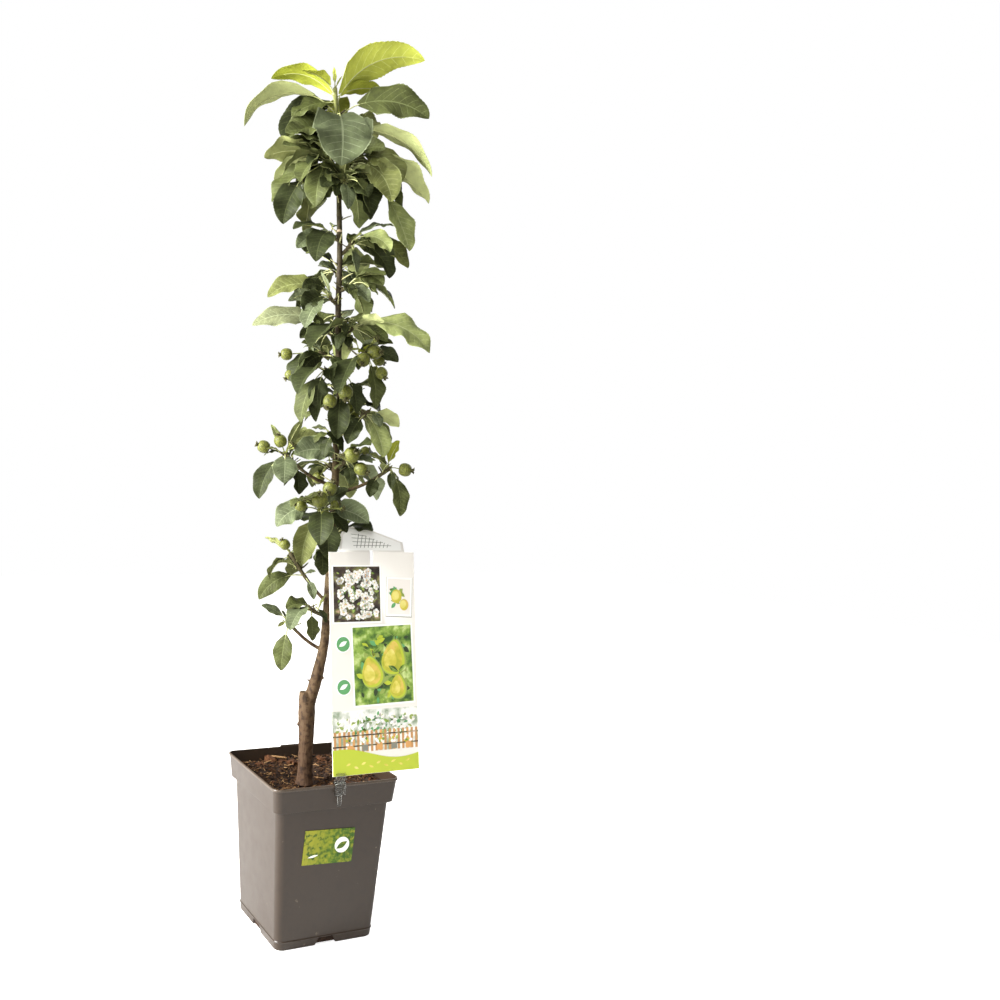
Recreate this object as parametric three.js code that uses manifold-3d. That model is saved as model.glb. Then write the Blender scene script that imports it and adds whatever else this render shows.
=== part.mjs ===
// A dwarf apple tree grown as a slim column, in a square nursery container, with its picture label.
// Millimetres, +Z up. The origin is the middle of the container's flat underside.
// The tree has a show side. Places on it are written as [across, out, up]: across runs to the right
// seen from that side, out comes towards it. The container stands turned by SHOW_TURN to it.

import * as THREE from 'three';
import { mergeVertices } from 'three/addons/utils/BufferGeometryUtils.js';
import Module from 'manifold-3d';

const wasm = await Module();
wasm.setup();

// ---------------------------------------------------------------- driving dimensions

const SHOW_TURN = 25;

const POT_SIDE = 188;
const POT_HEIGHT = 229;
const POT_FOOT_SIDE = 146;
const POT_NECK_SIDE = 169;
const COLLAR_HEIGHT = 34;
const COLLAR_DRAFT = 3;
const LIP_HEIGHT = 4;
const LIP_STEP = 1.2;
const LIP_SLOPE = 0.6;
const LIP_ROUND = 0.7;
const LIP_WALL = 2.2;
const LEDGE_FOOT = 1;
const LEDGE_TOP = 3;
const POT_WALL = 1.8;
const POT_FLOOR = 2.6;
const POT_CORNER = 11;
const FOOT_BAND = 11;
const FOOT_BEVEL = 1.5;
const RIDGE_OUT = 0.8;
const RIDGE_SLOPE = 0.6;
const RIDGE_BAND = 1.2;
const NOTCH_WIDTH = 26;
const NOTCH_HEIGHT = 11;
const NOTCH_FLARE = 4;
const NOTCH_ROUND = 2;
const NOTCH_DEPTH = 14;
const LUG_LENGTH = 34;
const LUG_PLACE = 8;
const LUG_INSET = 1.3;
const LUG_RISE = 2.2;
const SOIL_TOP = 200;
const SOIL_BUMP = 2.5;
const GAP = 0.3;

// height, across, out, diameter of the trunk above the graft, and of the stock below it
const TRUNK = [
  [296, -8.6, 0, 17], [322, -6, 0, 18.5], [346, 0.2, 0, 18], [369, 4.8, 0, 16], [391, 8.8, 0, 14.2],
  [413, 11.3, 0, 12.8], [474, 12.7, 1, 11.7], [580, 14.8, 2, 11.2], [662, 15.1, 1, 10.5],
  [698, 14.4, 0, 9.3], [750, 16.2, -1, 8.8], [812, 11.5, -2, 8.6], [876, 8, -2, 8.5], [951, 6.6, -1, 8],
  [1029, 1.8, 0, 7.4], [1062, 0.3, 0, 6.4], [1092, -2.4, 0, 5.2],
];
const STOCK = [
  [SOIL_TOP + GAP, -8.1, 0, 28], [209, -8.1, 0, 23.6], [234, -8.3, 0, 21], [263, -8.8, 0, 21.5],
  [299, -9.6, 0, 24], [319, -10.6, 0, 23], [333, -13.4, 1, 16],
];
// height, across, out, rise of the tip, diameter of the knobs and the thorn on the old wood
const KNOBS = [
  [283, -12, 3, 4, 9], [352, 10, 4, 3, 8], [345, -11, 2, 6, 4], [256, 9, -6, 3, 8], [500, 7, -5, 3, 6],
];

const BUD_SIDES = 5;
const LIMB_SIDES = 6;
const TRUNK_SIDES = 10;
const BOUGH_GIRTH = 5.6;
const STEM_GIRTH = 4.4;
const HEART_GIRTH = 6.4;
const TWIG_GIRTH = 2.8;
const PETIOLE_GIRTH = 1.9;
const PETIOLE_SHARE = 0.27;
const BLADE_WIDTH = 0.6;
const BLADE_KEEL = 0.03;
const LONG_LEAF = 50;
const LEAF_TURN = 144;
const STALK_GIRTH = 2;
const COLUMN_REACH = 82;
const CROWN_REACH = 112;
const CROWN_FOOT = 1030;
const LEANS = [0, 9, -9, 18, -18];
const SEED = 4127;

// Each spur: height on the trunk, heart = [across, out, up] of its rosette from the trunk's axis, and
// bough = the share of that way that is a bare limb (0 where the rosette sits on the trunk).
// leaves = [at, across, out, up, bend, roll, breadth, stalk]: where on the stem it springs, its tip from
// there, how far it arches over, how far it is rolled, how broad it is for its length and, if it is not
// the usual, the share of its length that is its stalk.
// fruit = [across, out, up, diameter] from the heart. more = further leaves that the rule may add.
const SPURS = [
  {
    name: 'crown_tip', height: 1092, heart: [-8.6, 0, 91], bough: 0, more: 3, leaves: [
      [0.72, 122, -15, 76, 95, -52, 0.6, 0.14], [0.85, 68, -32, 24, 60, -40, 0.6, 0.2],
      [0.8, -92, -5, 30, 100, 25, 0.6, 0.14],
      [0.6, -127, 10, -24, 130, 10, 0.55], [0.55, 128, 12, 2, 90, 62, 0.95],
      [0.3, 134, 10, -54, 95, -20, 0.5], [0.6, 10, 52, -84, 115, 0, 1.5, 0.22],
      [0.78, -60, 15, -26, 60, -50, 1.05, 0.14], [0.12, -73, 28, 8, 70, -60, 1.15],
      [0.62, -68, -16, -38, 150, -75, 0.75, 0.16], [0.35, -68, 24, -18, 85, -60, 1.1, 0.14],
      [1, -3, 6, 27, 12, 0, 0.5], [1, 9, -4, 19, 15, 0, 0.5],
      [0.45, 60, -72, 8, 90, 0, 0.95], [0.25, 5, -95, -8, 95, 0, 0.95], [0.5, -45, -80, 0, 90, 0, 0.9],
    ], fruit: [],
  },
  {
    name: 'crown_left', height: 1070, heart: [-19, 2, 12], bough: 0, more: 3, leaves: [
      [1, -85, 15, -4, 70, 30, 0.95], [1, -72, -18, -26, 60, 40, 0.9], [0.9, -74, 5, -60, 60, -45, 1],
      [0.85, -57, 28, -94, 65, -50, 1.05, 0.47], [0.8, -14, 38, -70, 85, 0, 1],
      [0.9, -27, -22, -96, 50, 0, 1.2, 0.5],
      [1, -60, 32, 12, 85, -60, 0.9],
    ], fruit: [],
  },
  {
    name: 'crown_right', height: 1066, heart: [15, -4, 15], bough: 0, more: 3, leaves: [
      [1, 67, 30, -35, 130, 50, 1], [1, 58, 46, -62, 90, 50, 0.95], [0.9, 76, -24, -29, 100, 50, 0.9],
      [1, 113, 0, -50, 75, -30, 0.85], [0.8, 82, -16, -66, 80, 60, 0.6],
      [0.9, 90, 12, -118, 55, 40, 0.95, 0.5],
      [0.7, 35, 32, -70, 80, 20, 1], [0.6, 24, -30, -75, 70, 0, 1], [0.9, 48, 34, 14, 95, 60, 0.9],
    ], fruit: [],
  },
  {
    name: 'crown_front', height: 1040, heart: [6, 17, 10], bough: 0, more: 3, leaves: [
      [1, -43, 22, -42, 70, -50, 1.15], [1, 38, 24, -52, 80, 45, 1.1], [0.9, 8, 34, -44, 95, 0, 0.8],
      [0.9, -32, 30, 14, 80, -40, 0.9], [0.9, 28, 34, 12, 80, 40, 0.9], [0.9, 2, 30, 26, 70, 10, 0.8],
    ], fruit: [],
  },
  { name: 'crown_back', height: 1074, heart: [-2, -18, 9], bough: 0, more: 9, leaves: [], fruit: [] },
  {
    name: 'upper_left', height: 972, heart: [-13, 6, 9], bough: 0, more: 3, leaves: [
      [1, -33, 12, -30, 115, -60, 1.15], [1, -46, 18, -26, 60, -65, 0.95], [0.9, -12, 26, -28, 80, -20, 0.9],
    ], fruit: [],
  },
  {
    name: 'upper_right', height: 952, heart: [18, -2, 22], bough: 0, more: 3, leaves: [
      [1, 80, -12, -32, 95, 50, 0.85], [1, 52, 15, -16, 110, 60, 0.85], [0.9, 55, 5, -48, 90, 60, 1],
      [0.8, 10, 20, -42, 60, 0, 0.6], [1, 36, -26, -12, 70, -60, 1.1], [0.8, 14, 26, 10, 60, 30, 0.8],
    ], fruit: [],
  },
  { name: 'upper_back', height: 925, heart: [-4, -22, 10], bough: 0, more: 7, leaves: [], fruit: [] },
  {
    name: 'middle_right', height: 902, heart: [14, 6, 9], bough: 0, more: 3, leaves: [
      [1, 47, 20, -2, 120, 60, 0.95], [1, 48, -10, 6, 75, -60, 1.1], [0.9, 30, 20, -24, 60, 50, 0.9],
      [0.9, 8, 30, -22, 70, 0, 0.8],
    ], fruit: [],
  },
  {
    name: 'middle_left', height: 884, heart: [-13, 8, 9], bough: 0, more: 2, leaves: [
      [1, -86, 8, -6, 100, -45, 0.8], [1, -38, 16, 8, 115, -60, 0.95], [1, -58, -10, -7, 60, 50, 0.7],
      [1, -34, 28, -26, 75, -60, 1.2], [0.8, -16, 8, 36, 25, 20, 0.5],
    ], fruit: [],
  },
  {
    name: 'long_left', height: 836, heart: [-15, 7, 9], bough: 0, more: 2, leaves: [
      [1, -106, 10, 2, 85, -45, 0.8], [1, -28, 10, 18, 60, -60, 0.8], [0.9, -40, 16, -12, 80, -65, 0.95],
      [0.9, -8, 42, -10, 90, 0, 0.9],
      [0.9, 14, 22, -28, 80, 20, 0.9],
    ], fruit: [],
  },
  {
    name: 'long_right', height: 840, heart: [19, 6, 11], bough: 0, more: 2, leaves: [
      [1, 109, 12, -31, 95, 50, 0.85], [1, 44, 15, 9, 70, -60, 0.8], [0.9, -8, 36, -10, 90, 0, 0.9],
      [0.9, -18, 28, -32, 80, 0, 0.8], [0.9, 52, 8, -16, 80, 60, 0.8],
    ], fruit: [],
  },
  { name: 'middle_back', height: 858, heart: [4, -23, 10], bough: 0, more: 7, leaves: [], fruit: [] },
  {
    name: 'right_cluster', height: 802, heart: [37, 6, 17], bough: 0.5, more: 2, leaves: [
      [1, 46, 8, -13, 65, 60, 0.95], [0.9, 20, 8, -76, 55, 30, 0.75], [1, 38, 2, 13, 85, 50, 0.85],
    ], fruit: [[12, 10, -1, 21], [-3, 16, -13, 20], [20, -9, -10, 17], [14, -8, -27, 17], [23, 14, -30, 18]],
  },
  {
    name: 'left_cluster', height: 811, heart: [-27, 4, 4], bough: 0, more: 2, leaves: [
      [0.42, -38, 30, -28, 85, -65, 1.1], [1, -26, 6, 12, 90, -60, 0.85], [0.9, -20, -20, -18, 60, 0, 0.8],
      [0.7, 26, 30, -30, 85, 20, 0.9],
    ], fruit: [[-46, 6, -5, 18], [-39, 10, -34, 17], [-30, -6, -19, 12]],
  },
  {
    name: 'front_fruit', height: 760, heart: [6, 18, 25], bough: 0, more: 2, leaves: [
      [1, 18, 8, -54, 60, 30, 1.05], [0.3, -2, 26, -72, 60, 0, 0.9],
    ], fruit: [[2, 14, -26, 22], [-19, 12, -39, 20], [8, 1, -46, 15]],
  },
  {
    name: 'left_drop', height: 766, heart: [-21, 9, 26], bough: 0.4, more: 2, leaves: [
      [1, -7, 18, -56, 65, -40, 1.1], [0.8, -14, 6, -68, 50, -20, 0.7], [1, -31, 8, -77, 55, -40, 0.85],
    ], fruit: [],
  },
  {
    name: 'high_back', height: 738, heart: [8, -26, 12], bough: 0, more: 7, leaves: [],
    fruit: [[14, -16, -20, 18]],
  },
  {
    name: 'centre_front', height: 694, heart: [-4, 17, 8], bough: 0, more: 2, leaves: [
      [1, -12, 12, -34, 70, -20, 1], [1, 4, 24, 12, 80, 10, 0.8],
    ], fruit: [],
  },
  {
    name: 'right_drop', height: 710, heart: [43, 6, 26], bough: 0.6, more: 2, leaves: [
      [1, 16, 14, -22, 75, 30, 1.1], [1, 24, 4, -36, 30, 40, 0.5], [1, 44, -8, -20, 55, -50, 1],
      [0.9, -24, 28, -44, 45, -30, 1], [0.9, 27, 14, -60, 50, 30, 1.05],
    ], fruit: [],
  },
  {
    name: 'centre_fruit', height: 654, heart: [13, 13, 11], bough: 0, more: 3, leaves: [
      [1, -72, 22, 5, 75, -60, 1.15], [1, -29, 12, 36, 60, -60, 1], [1, 9, 14, -34, 60, 30, 1],
      [0.9, 43, 14, 4, 35, 50, 0.4],
    ], fruit: [[8, 15, 8, 24], [22, 10, -11, 20], [27, -7, 15, 13]],
  },
  {
    name: 'left_spur', height: 628, heart: [-72, 12, 42], bough: 0.6, more: 2, leaves: [
      [1, -22, -4, 41, 20, -60, 0.5], [1, 23, 0, 50, 20, -60, 0.55], [1, 48, -6, 26, 95, 60, 0.75],
      [1, 2, 34, -40, 85, 0, 1.4], [1, -33, 8, -64, 60, -50, 0.9], [0.8, 8, 16, -42, 60, -20, 1.2],
    ], fruit: [[-7, 6, 18, 19], [-30, 4, 9, 19]],
  },
  {
    name: 'right_spur', height: 620, heart: [77, 0, 38], bough: 0.7, more: 2, leaves: [
      [0.8, -12, 18, -30, 60, -50, 1.1], [1, 2, 14, -30, 50, 20, 0.8], [1, 17, 6, -68, 45, 50, 0.8],
      [0.95, 16, -8, 42, 45, -60, 1.1],
    ], fruit: [[21, 4, -2, 20]],
  },
  {
    name: 'centre_back', height: 646, heart: [-8, -28, 14], bough: 0, more: 8, leaves: [],
    fruit: [[-16, -14, -22, 19]],
  },
  {
    name: 'low_fruit', height: 590, heart: [-19, 24, 4], bough: 0, more: 2, leaves: [
      [0.8, 34, -2, 34, 60, 50, 1], [1, 68, 12, -14, 65, 60, 1], [0.9, 37, -2, -28, 60, 50, 1],
      [1, -59, 8, -25, 95, -60, 1.2], [1, -22, 22, -76, 50, -40, 0.9], [1, 14, 18, -66, 50, 30, 1.1],
    ], fruit: [[12, 6, 31, 21], [-1, 20, 16, 24], [7, 18, -8, 20], [-27, 12, 6, 17], [20, 5, 9, 14]],
  },
  {
    name: 'low_front', height: 540, heart: [-13, 9, 9], bough: 0, more: 4, leaves: [
      [1, 3, 22, -45, 65, -30, 1.3],
    ], fruit: [],
  },
  { name: 'low_back', height: 548, heart: [8, -24, 14], bough: 0, more: 7, leaves: [], fruit: [] },
  {
    name: 'lower_left', height: 462, heart: [-56, 6, 69], bough: 0.35, more: 0, leaves: [
      [0.62, -62, 8, -36, 80, -60, 0.8], [0.6, 14, 14, -30, 50, 40, 0.8], [0.64, 17, 4, 6, 50, 40, 0.8],
      [1, -37, -4, 20, 40, 50, 0.6],
    ], fruit: [[-8, 4, 12, 16]],
  },
  {
    name: 'lower_rosette', height: 444, heart: [-28, 14, 14], bough: 0, more: 1, leaves: [
      [1, -26, 6, -10, 100, -60, 1.1], [1, -26, 12, -31, 60, -60, 1], [0.8, 4, 16, -42, 50, -20, 1.05],
      [0.5, 12, 6, 28, 25, 40, 0.6],
    ], fruit: [],
  },
  {
    name: 'lowest_left', height: 394, heart: [-52, 6, 40], bough: 0.75, more: 0, leaves: [
      [1, -38, 6, 22, 40, -60, 0.7], [1, -13, 10, -7, 30, -40, 0.7], [0.95, -8, 12, -66, 35, -15, 0.95],
      [1, -9, 8, 16, 20, -60, 0.6],
    ], fruit: [],
  },
];

const LABEL_WIDTH = 134;
const LABEL_HEIGHT = 302;
const LABEL_THICKNESS = 0.9;
const LABEL_TILT = 8.7;
const LABEL_CORNER = [-11.7, 240.2];
const LABEL_PLANE = POT_SIDE / 2 + 0.6;
const FLAP_OUTLINE = [[16, 0], [119, 0], [120, 16], [66, 38], [36, 40], [24, 28]];
const FLAP_FOLD = 24;
const SLOT_WIDTH = 5;
const SLOT_LENGTH = 26;
const SLOT_PLACE = 66;
const SLOT_DROP = 6;

const CLIP_PLACE = 0;
const CLIP_WIDTH = 15;
const CLIP_TONGUE_WIDTH = 6;
const CLIP_SKIN = 1.4;
const CLIP_BLOCK = 2.4;
const CLIP_BRIDGE = 3;
const CLIP_HOOK_REACH = 4.4;
const CLIP_TOP = 245;
const CLIP_HOOK_FOOT = 215;
const CLIP_TONGUE_FOOT = 200;

const STICKER_WIDTH = 75;
const STICKER_HEIGHT = 48;
const STICKER_THICKNESS = 0.5;
const STICKER_PLACE = [-6.3, 140.5];
const STICKER_TURN = -2.5;

// ---------------------------------------------------------------- small tools

const rad = THREE.MathUtils.degToRad;

// a place or direction on the tree, from the show side's [across, out, up]
function fromShow(across, out, up) {
  const c = Math.cos(rad(SHOW_TURN));
  const s = Math.sin(rad(SHOW_TURN));
  return new THREE.Vector3(across * c - out * s, -across * s - out * c, up);
}

// repeatable random numbers from 0 to 1
function dice(seed) {
  let state = seed >>> 0;
  return () => {
    state = (state + 0x6D2B79F5) >>> 0;
    let t = state;
    t = Math.imul(t ^ (t >>> 15), t | 1);
    t ^= t + Math.imul(t ^ (t >>> 7), t | 61);
    return ((t ^ (t >>> 14)) >>> 0) / 4294967296;
  };
}

// a closed body through rings of points; a ring of one point closes to a tip, any other to a flat cap
function loft(rings) {
  const points = [];
  const faces = [];
  const starts = rings.map((ring) => {
    const start = points.length;
    points.push(...ring);
    return start;
  });
  for (let i = 0; i + 1 < rings.length; i++) {
    const [a, b] = [starts[i], starts[i + 1]];
    const [na, nb] = [rings[i].length, rings[i + 1].length];
    for (let k = 0; k < Math.max(na, nb); k++) {
      const next = k + 1;
      if (na > 1) faces.push([a + k, a + next % na, b + k % nb]);
      if (nb > 1) faces.push([a + next % na, b + next % nb, b + k % nb]);
    }
  }
  const last = starts[starts.length - 1];
  for (let k = 1; k + 1 < rings[0].length; k++) faces.push([0, k + 1, k]);
  for (let k = 1; k + 1 < rings[rings.length - 1].length; k++) faces.push([last, last + k, last + k + 1]);
  const geometry = new THREE.BufferGeometry();
  const places = points.flatMap((p) => [p.x, p.y, p.z]);
  geometry.setAttribute('position', new THREE.Float32BufferAttribute(places, 3));
  geometry.setIndex(faces.flat());
  return geometry;
}

function toSolid(geometry) {
  const bare = geometry.clone();
  bare.deleteAttribute('normal');
  bare.deleteAttribute('uv');
  const merged = mergeVertices(bare, 1e-4);
  return new wasm.Manifold(new wasm.Mesh({
    numProp: 3,
    vertProperties: new Float32Array(merged.attributes.position.array),
    triVerts: new Uint32Array(merged.index.array),
  }));
}

function toGeometry(solid) {
  const mesh = solid.getMesh();
  const geometry = new THREE.BufferGeometry();
  geometry.setAttribute('position', new THREE.BufferAttribute(new Float32Array(mesh.vertProperties), 3));
  geometry.setIndex(new THREE.BufferAttribute(new Uint32Array(mesh.triVerts), 1));
  return geometry;
}

// the largest piece of a solid, so that no loose scrap stays
function largest(solid) {
  return solid.decompose().reduce((best, piece) => (piece.volume() > best.volume() ? piece : best));
}

function box(width, depth, height, x, y, z) {
  const geometry = new THREE.BoxGeometry(width, depth, height);
  geometry.translate(x, y, z);
  return toSolid(geometry);
}

// ---------------------------------------------------------------- container and compost

// one level of the container: a square with round corners
function squareRing(side, corner, height) {
  const half = side / 2;
  const shape = new THREE.Shape();
  shape.moveTo(half, -half + corner);
  shape.lineTo(half, half - corner);
  shape.absarc(half - corner, half - corner, corner, 0, Math.PI / 2);
  shape.absarc(-half + corner, half - corner, corner, Math.PI / 2, Math.PI);
  shape.absarc(-half + corner, -half + corner, corner, Math.PI, 1.5 * Math.PI);
  shape.absarc(half - corner, -half + corner, corner, 1.5 * Math.PI, 2 * Math.PI);
  const ring = shape.getPoints(2).map((p) => new THREE.Vector3(p.x, p.y, height));
  return ring.filter((p, i) => p.distanceTo(ring[(i + 1) % ring.length]) > 1e-3);
}

const NECK = POT_HEIGHT - COLLAR_HEIGHT;

function wallSide(height) {
  return THREE.MathUtils.lerp(POT_FOOT_SIDE, POT_NECK_SIDE, height / NECK);
}

// side of the hollow at a height, with the ledge under the collar
function hollowRings(inset, floor, top) {
  const collarFoot = POT_SIDE - 2 * (LIP_STEP + COLLAR_DRAFT + POT_WALL);
  const mouth = POT_SIDE - 2 * LIP_WALL;
  const ledge = THREE.MathUtils.lerp(collarFoot, mouth, (top - NECK) / COLLAR_HEIGHT);
  const corner = POT_CORNER - POT_WALL - inset;
  return [
    squareRing(wallSide(floor) - 2 * (POT_WALL + inset), corner, floor),
    squareRing(wallSide(NECK) - 2 * (POT_WALL + inset), corner, NECK + LEDGE_FOOT),
    squareRing(collarFoot - 2 * inset, corner, NECK + LEDGE_TOP),
    squareRing(ledge - 2 * inset, corner, top),
  ];
}

function makePot() {
  const lipFoot = POT_HEIGHT - LIP_HEIGHT;
  const ridgeSide = wallSide(FOOT_BAND) + 2 * RIDGE_OUT;
  const outside = [
    [POT_FOOT_SIDE - 2 * FOOT_BEVEL, 0],
    [POT_FOOT_SIDE, FOOT_BEVEL],
    [wallSide(FOOT_BAND), FOOT_BAND],
    [ridgeSide, FOOT_BAND + RIDGE_SLOPE],
    [ridgeSide, FOOT_BAND + RIDGE_SLOPE + RIDGE_BAND],
    [wallSide(FOOT_BAND), FOOT_BAND + 2 * RIDGE_SLOPE + RIDGE_BAND],
    [wallSide(NECK - LEDGE_FOOT), NECK - LEDGE_FOOT],
    [POT_SIDE - 2 * (LIP_STEP + COLLAR_DRAFT), NECK],
    [POT_SIDE - 2 * LIP_STEP, lipFoot],
    [POT_SIDE, lipFoot + LIP_SLOPE],
    [POT_SIDE, POT_HEIGHT - LIP_ROUND],
    [POT_SIDE - 2 * LIP_ROUND, POT_HEIGHT],
  ];
  const shell = toSolid(loft(outside.map(([side, height]) => squareRing(side, POT_CORNER, height))));
  const hollow = toSolid(loft(hollowRings(0, POT_FLOOR, POT_HEIGHT + 1)));
  let pot = shell.subtract(hollow);
  const half = NOTCH_WIDTH / 2;
  const notch = new THREE.Shape([
    [-half - NOTCH_FLARE, -1], [half + NOTCH_FLARE, -1], [half, NOTCH_HEIGHT / 2],
    [half - NOTCH_ROUND, NOTCH_HEIGHT], [-half + NOTCH_ROUND, NOTCH_HEIGHT], [-half, NOTCH_HEIGHT / 2],
  ].map(([x, y]) => new THREE.Vector2(x, y)));
  for (let side = 0; side < 4; side++) {
    const cutter = new THREE.ExtrudeGeometry(notch, { depth: NOTCH_DEPTH, bevelEnabled: false });
    cutter.rotateX(Math.PI / 2);
    cutter.translate(0, (NOTCH_DEPTH - POT_FOOT_SIDE) / 2, 0);
    cutter.rotateZ(side * Math.PI / 2);
    pot = pot.subtract(toSolid(cutter));
  }
  const lug = new THREE.BoxGeometry(LUG_LENGTH, POT_WALL, LUG_RISE + 2);
  lug.translate(LUG_PLACE, POT_SIDE / 2 - LUG_INSET, POT_HEIGHT + LUG_RISE / 2 - 1);
  return pot.add(toSolid(lug));
}

// the compost follows the hollow, and its top is uneven but for a level seat under the trunk
function makeSoil() {
  const body = toSolid(loft(hollowRings(GAP, POT_FLOOR + GAP, SOIL_TOP - 1.5)));
  const roll = dice(SEED);
  const cells = 7;
  const side = hollowRings(GAP, POT_FLOOR, SOIL_TOP)[3].reduce((most, p) => Math.max(most, p.x), 0) * 2;
  const crust = new THREE.BoxGeometry(side - 2, side - 2, 6, cells, cells, 1);
  crust.translate(0, 0, SOIL_TOP - 3);
  const spots = crust.attributes.position;
  const seat = fromShow(STOCK[0][1], STOCK[0][2], 0);
  const lift = new Map();
  for (let i = 0; i < spots.count; i++) {
    const key = `${spots.getX(i).toFixed(1)} ${spots.getY(i).toFixed(1)}`;
    if (!lift.has(key)) lift.set(key, (roll() - 0.6) * SOIL_BUMP);
    const near = Math.hypot(spots.getX(i) - seat.x, spots.getY(i) - seat.y) < STOCK[0][3] * 0.9;
    if (spots.getZ(i) > SOIL_TOP - 1 && !near) spots.setZ(i, SOIL_TOP + lift.get(key));
  }
  const inside = toSolid(loft(hollowRings(GAP, POT_FLOOR + GAP, SOIL_TOP + 6)));
  return largest(body.add(toSolid(crust)).intersect(inside));
}

// ---------------------------------------------------------------- trunk and boughs

// a tapering limb with flat ends through points, each with its radius
function limb(points, radii, sides) {
  const rings = points.map((point, i) => {
    const ahead = points[Math.min(i + 1, points.length - 1)];
    const behind = points[Math.max(i - 1, 0)];
    const along = ahead.clone().sub(behind).normalize();
    const level = Math.abs(along.z) > 0.999;
    const side = level ? new THREE.Vector3(1, 0, 0) : new THREE.Vector3(0, 0, 1).cross(along).normalize();
    const up = along.clone().cross(side).normalize();
    return Array.from({ length: sides }, (_, k) => {
      const turn = 2 * Math.PI * k / sides;
      return point.clone().addScaledVector(side, radii[i] * Math.cos(turn))
        .addScaledVector(up, radii[i] * Math.sin(turn));
    });
  });
  return toSolid(loft(rings));
}

// an upright limb whose rings lie level, so that its foot is a level cut
function upright(stations, extra) {
  const rings = stations.map(([height, across, out, girth]) => {
    const centre = fromShow(across, out, height);
    return Array.from({ length: TRUNK_SIDES }, (_, n) => {
      const turn = 2 * Math.PI * n / TRUNK_SIDES;
      const radius = girth / 2 + extra;
      return new THREE.Vector3(radius * Math.cos(turn), radius * Math.sin(turn), 0).add(centre);
    });
  });
  return toSolid(loft(rings));
}

function makeTrunk(extra) {
  const top = TRUNK.length - 1;
  const rising = TRUNK.map(([height, ...rest], i) => [height + (i === top ? extra : 0), ...rest]);
  let trunk = upright(rising, extra).add(upright(STOCK, extra));
  for (const [height, across, out, rise, girth] of KNOBS) {
    const core = onTrunk(height);
    const tip = core.clone().add(fromShow(across, out, rise));
    const radius = girth / 2 + extra;
    trunk = trunk.add(limb([core, tip], [radius, radius * 0.5], BUD_SIDES));
  }
  return trunk;
}

// the middle of the trunk at a height
function onTrunk(height) {
  const stations = height < TRUNK[1][0] ? STOCK : TRUNK;
  const i = Math.max(1, stations.findIndex((s) => s[0] >= height));
  const [low, high] = [stations[i - 1], stations[i]];
  const t = (height - low[0]) / (high[0] - low[0]);
  const across = THREE.MathUtils.lerp(low[1], high[1], t);
  const out = THREE.MathUtils.lerp(low[2], high[2], t);
  return fromShow(across, out, height);
}

// the way from the trunk to a spur's heart: it leaves flatter and turns up
function spurPoint(spur, t) {
  const root = onTrunk(spur.height);
  const heart = root.clone().add(fromShow(...spur.heart));
  const way = heart.clone().sub(root);
  const sag = 0.1 * Math.hypot(way.x, way.y) * 4 * t * (1 - t);
  return root.clone().addScaledVector(way, t).add(new THREE.Vector3(0, 0, -sag));
}

// a bough tapers evenly; a stem swells at its heart, where the buds have set year on year
function spurGirth(spur, t) {
  if (spur.bough > 0 && t <= spur.bough) return THREE.MathUtils.lerp(BOUGH_GIRTH, STEM_GIRTH, t / spur.bough);
  return THREE.MathUtils.lerp(STEM_GIRTH, HEART_GIRTH, (t - spur.bough) / (1 - spur.bough));
}

function spurLimb(spur, from, to, extra, steps) {
  const marks = Array.from({ length: steps + 1 }, (_, k) => THREE.MathUtils.lerp(from, to, k / steps));
  const points = marks.map((t) => spurPoint(spur, t));
  const radii = marks.map((t) => spurGirth(spur, t) / 2 + extra);
  return limb(points, radii, extra || from > 0 ? LIMB_SIDES : BUD_SIDES);
}

// ---------------------------------------------------------------- leaves, fruit and twigs

// the arc of a leaf: from its root to a tip, bending over evenly in an upright plane
function leafArc(root, tip, bend) {
  const flat = new THREE.Vector3(tip.x, tip.y, 0);
  const level = flat.length();
  flat.normalize();
  const rise = Math.atan2(tip.z, level);
  const turn = rad(bend);
  const start = rise + turn / 2;
  const radius = Math.hypot(level, tip.z) / 2 / Math.sin(turn / 2);
  const length = radius * turn;
  const at = (f) => {
    const slope = start - turn * f;
    const point = root.clone()
      .addScaledVector(flat, radius * (Math.sin(start) - Math.sin(slope)))
      .add(new THREE.Vector3(0, 0, radius * (Math.cos(slope) - Math.cos(start))));
    const along = flat.clone().multiplyScalar(Math.cos(slope)).add(new THREE.Vector3(0, 0, Math.sin(slope)));
    const face = flat.clone().multiplyScalar(-Math.sin(slope)).add(new THREE.Vector3(0, 0, Math.cos(slope)));
    return { point, along, face };
  };
  return { at, length };
}

// one leaf: a petiole and a thin keeled blade, as a body of three-cornered rings that ends in a point
function makeLeaf(root, tip, bend, roll, breadth, petiole, extra) {
  const arc = leafArc(root, tip, bend);
  const blade = arc.length * (1 - petiole);
  const half = blade * BLADE_WIDTH * breadth / 2;
  const stations = arc.length > LONG_LEAF ? [[0.36, 1], [0.7, 0.72]] : [[0.45, 1]];
  const marks = [[0, 0], [petiole, 0], ...stations.map(([t, width]) => [petiole + (1 - petiole) * t, width])];
  const rings = marks.map(([f, width]) => {
    const { point, along, face } = arc.at(f);
    const normal = face.applyAxisAngle(along, rad(roll));
    const side = normal.clone().cross(along).normalize();
    const reach = (width ? half * width : PETIOLE_GIRTH / 2) + extra;
    const keel = (width ? Math.max(BLADE_KEEL * blade * width, 1.1) : PETIOLE_GIRTH * 0.8) + 2 * extra;
    const top = (width ? 0 : PETIOLE_GIRTH * 0.2) + extra;
    return [
      point.clone().addScaledVector(side, reach).addScaledVector(normal, top),
      point.clone().addScaledVector(side, -reach).addScaledVector(normal, top),
      point.clone().addScaledVector(normal, top - keel),
    ];
  });
  rings.push([arc.at(1).point]);
  return toSolid(loft(rings));
}

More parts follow.
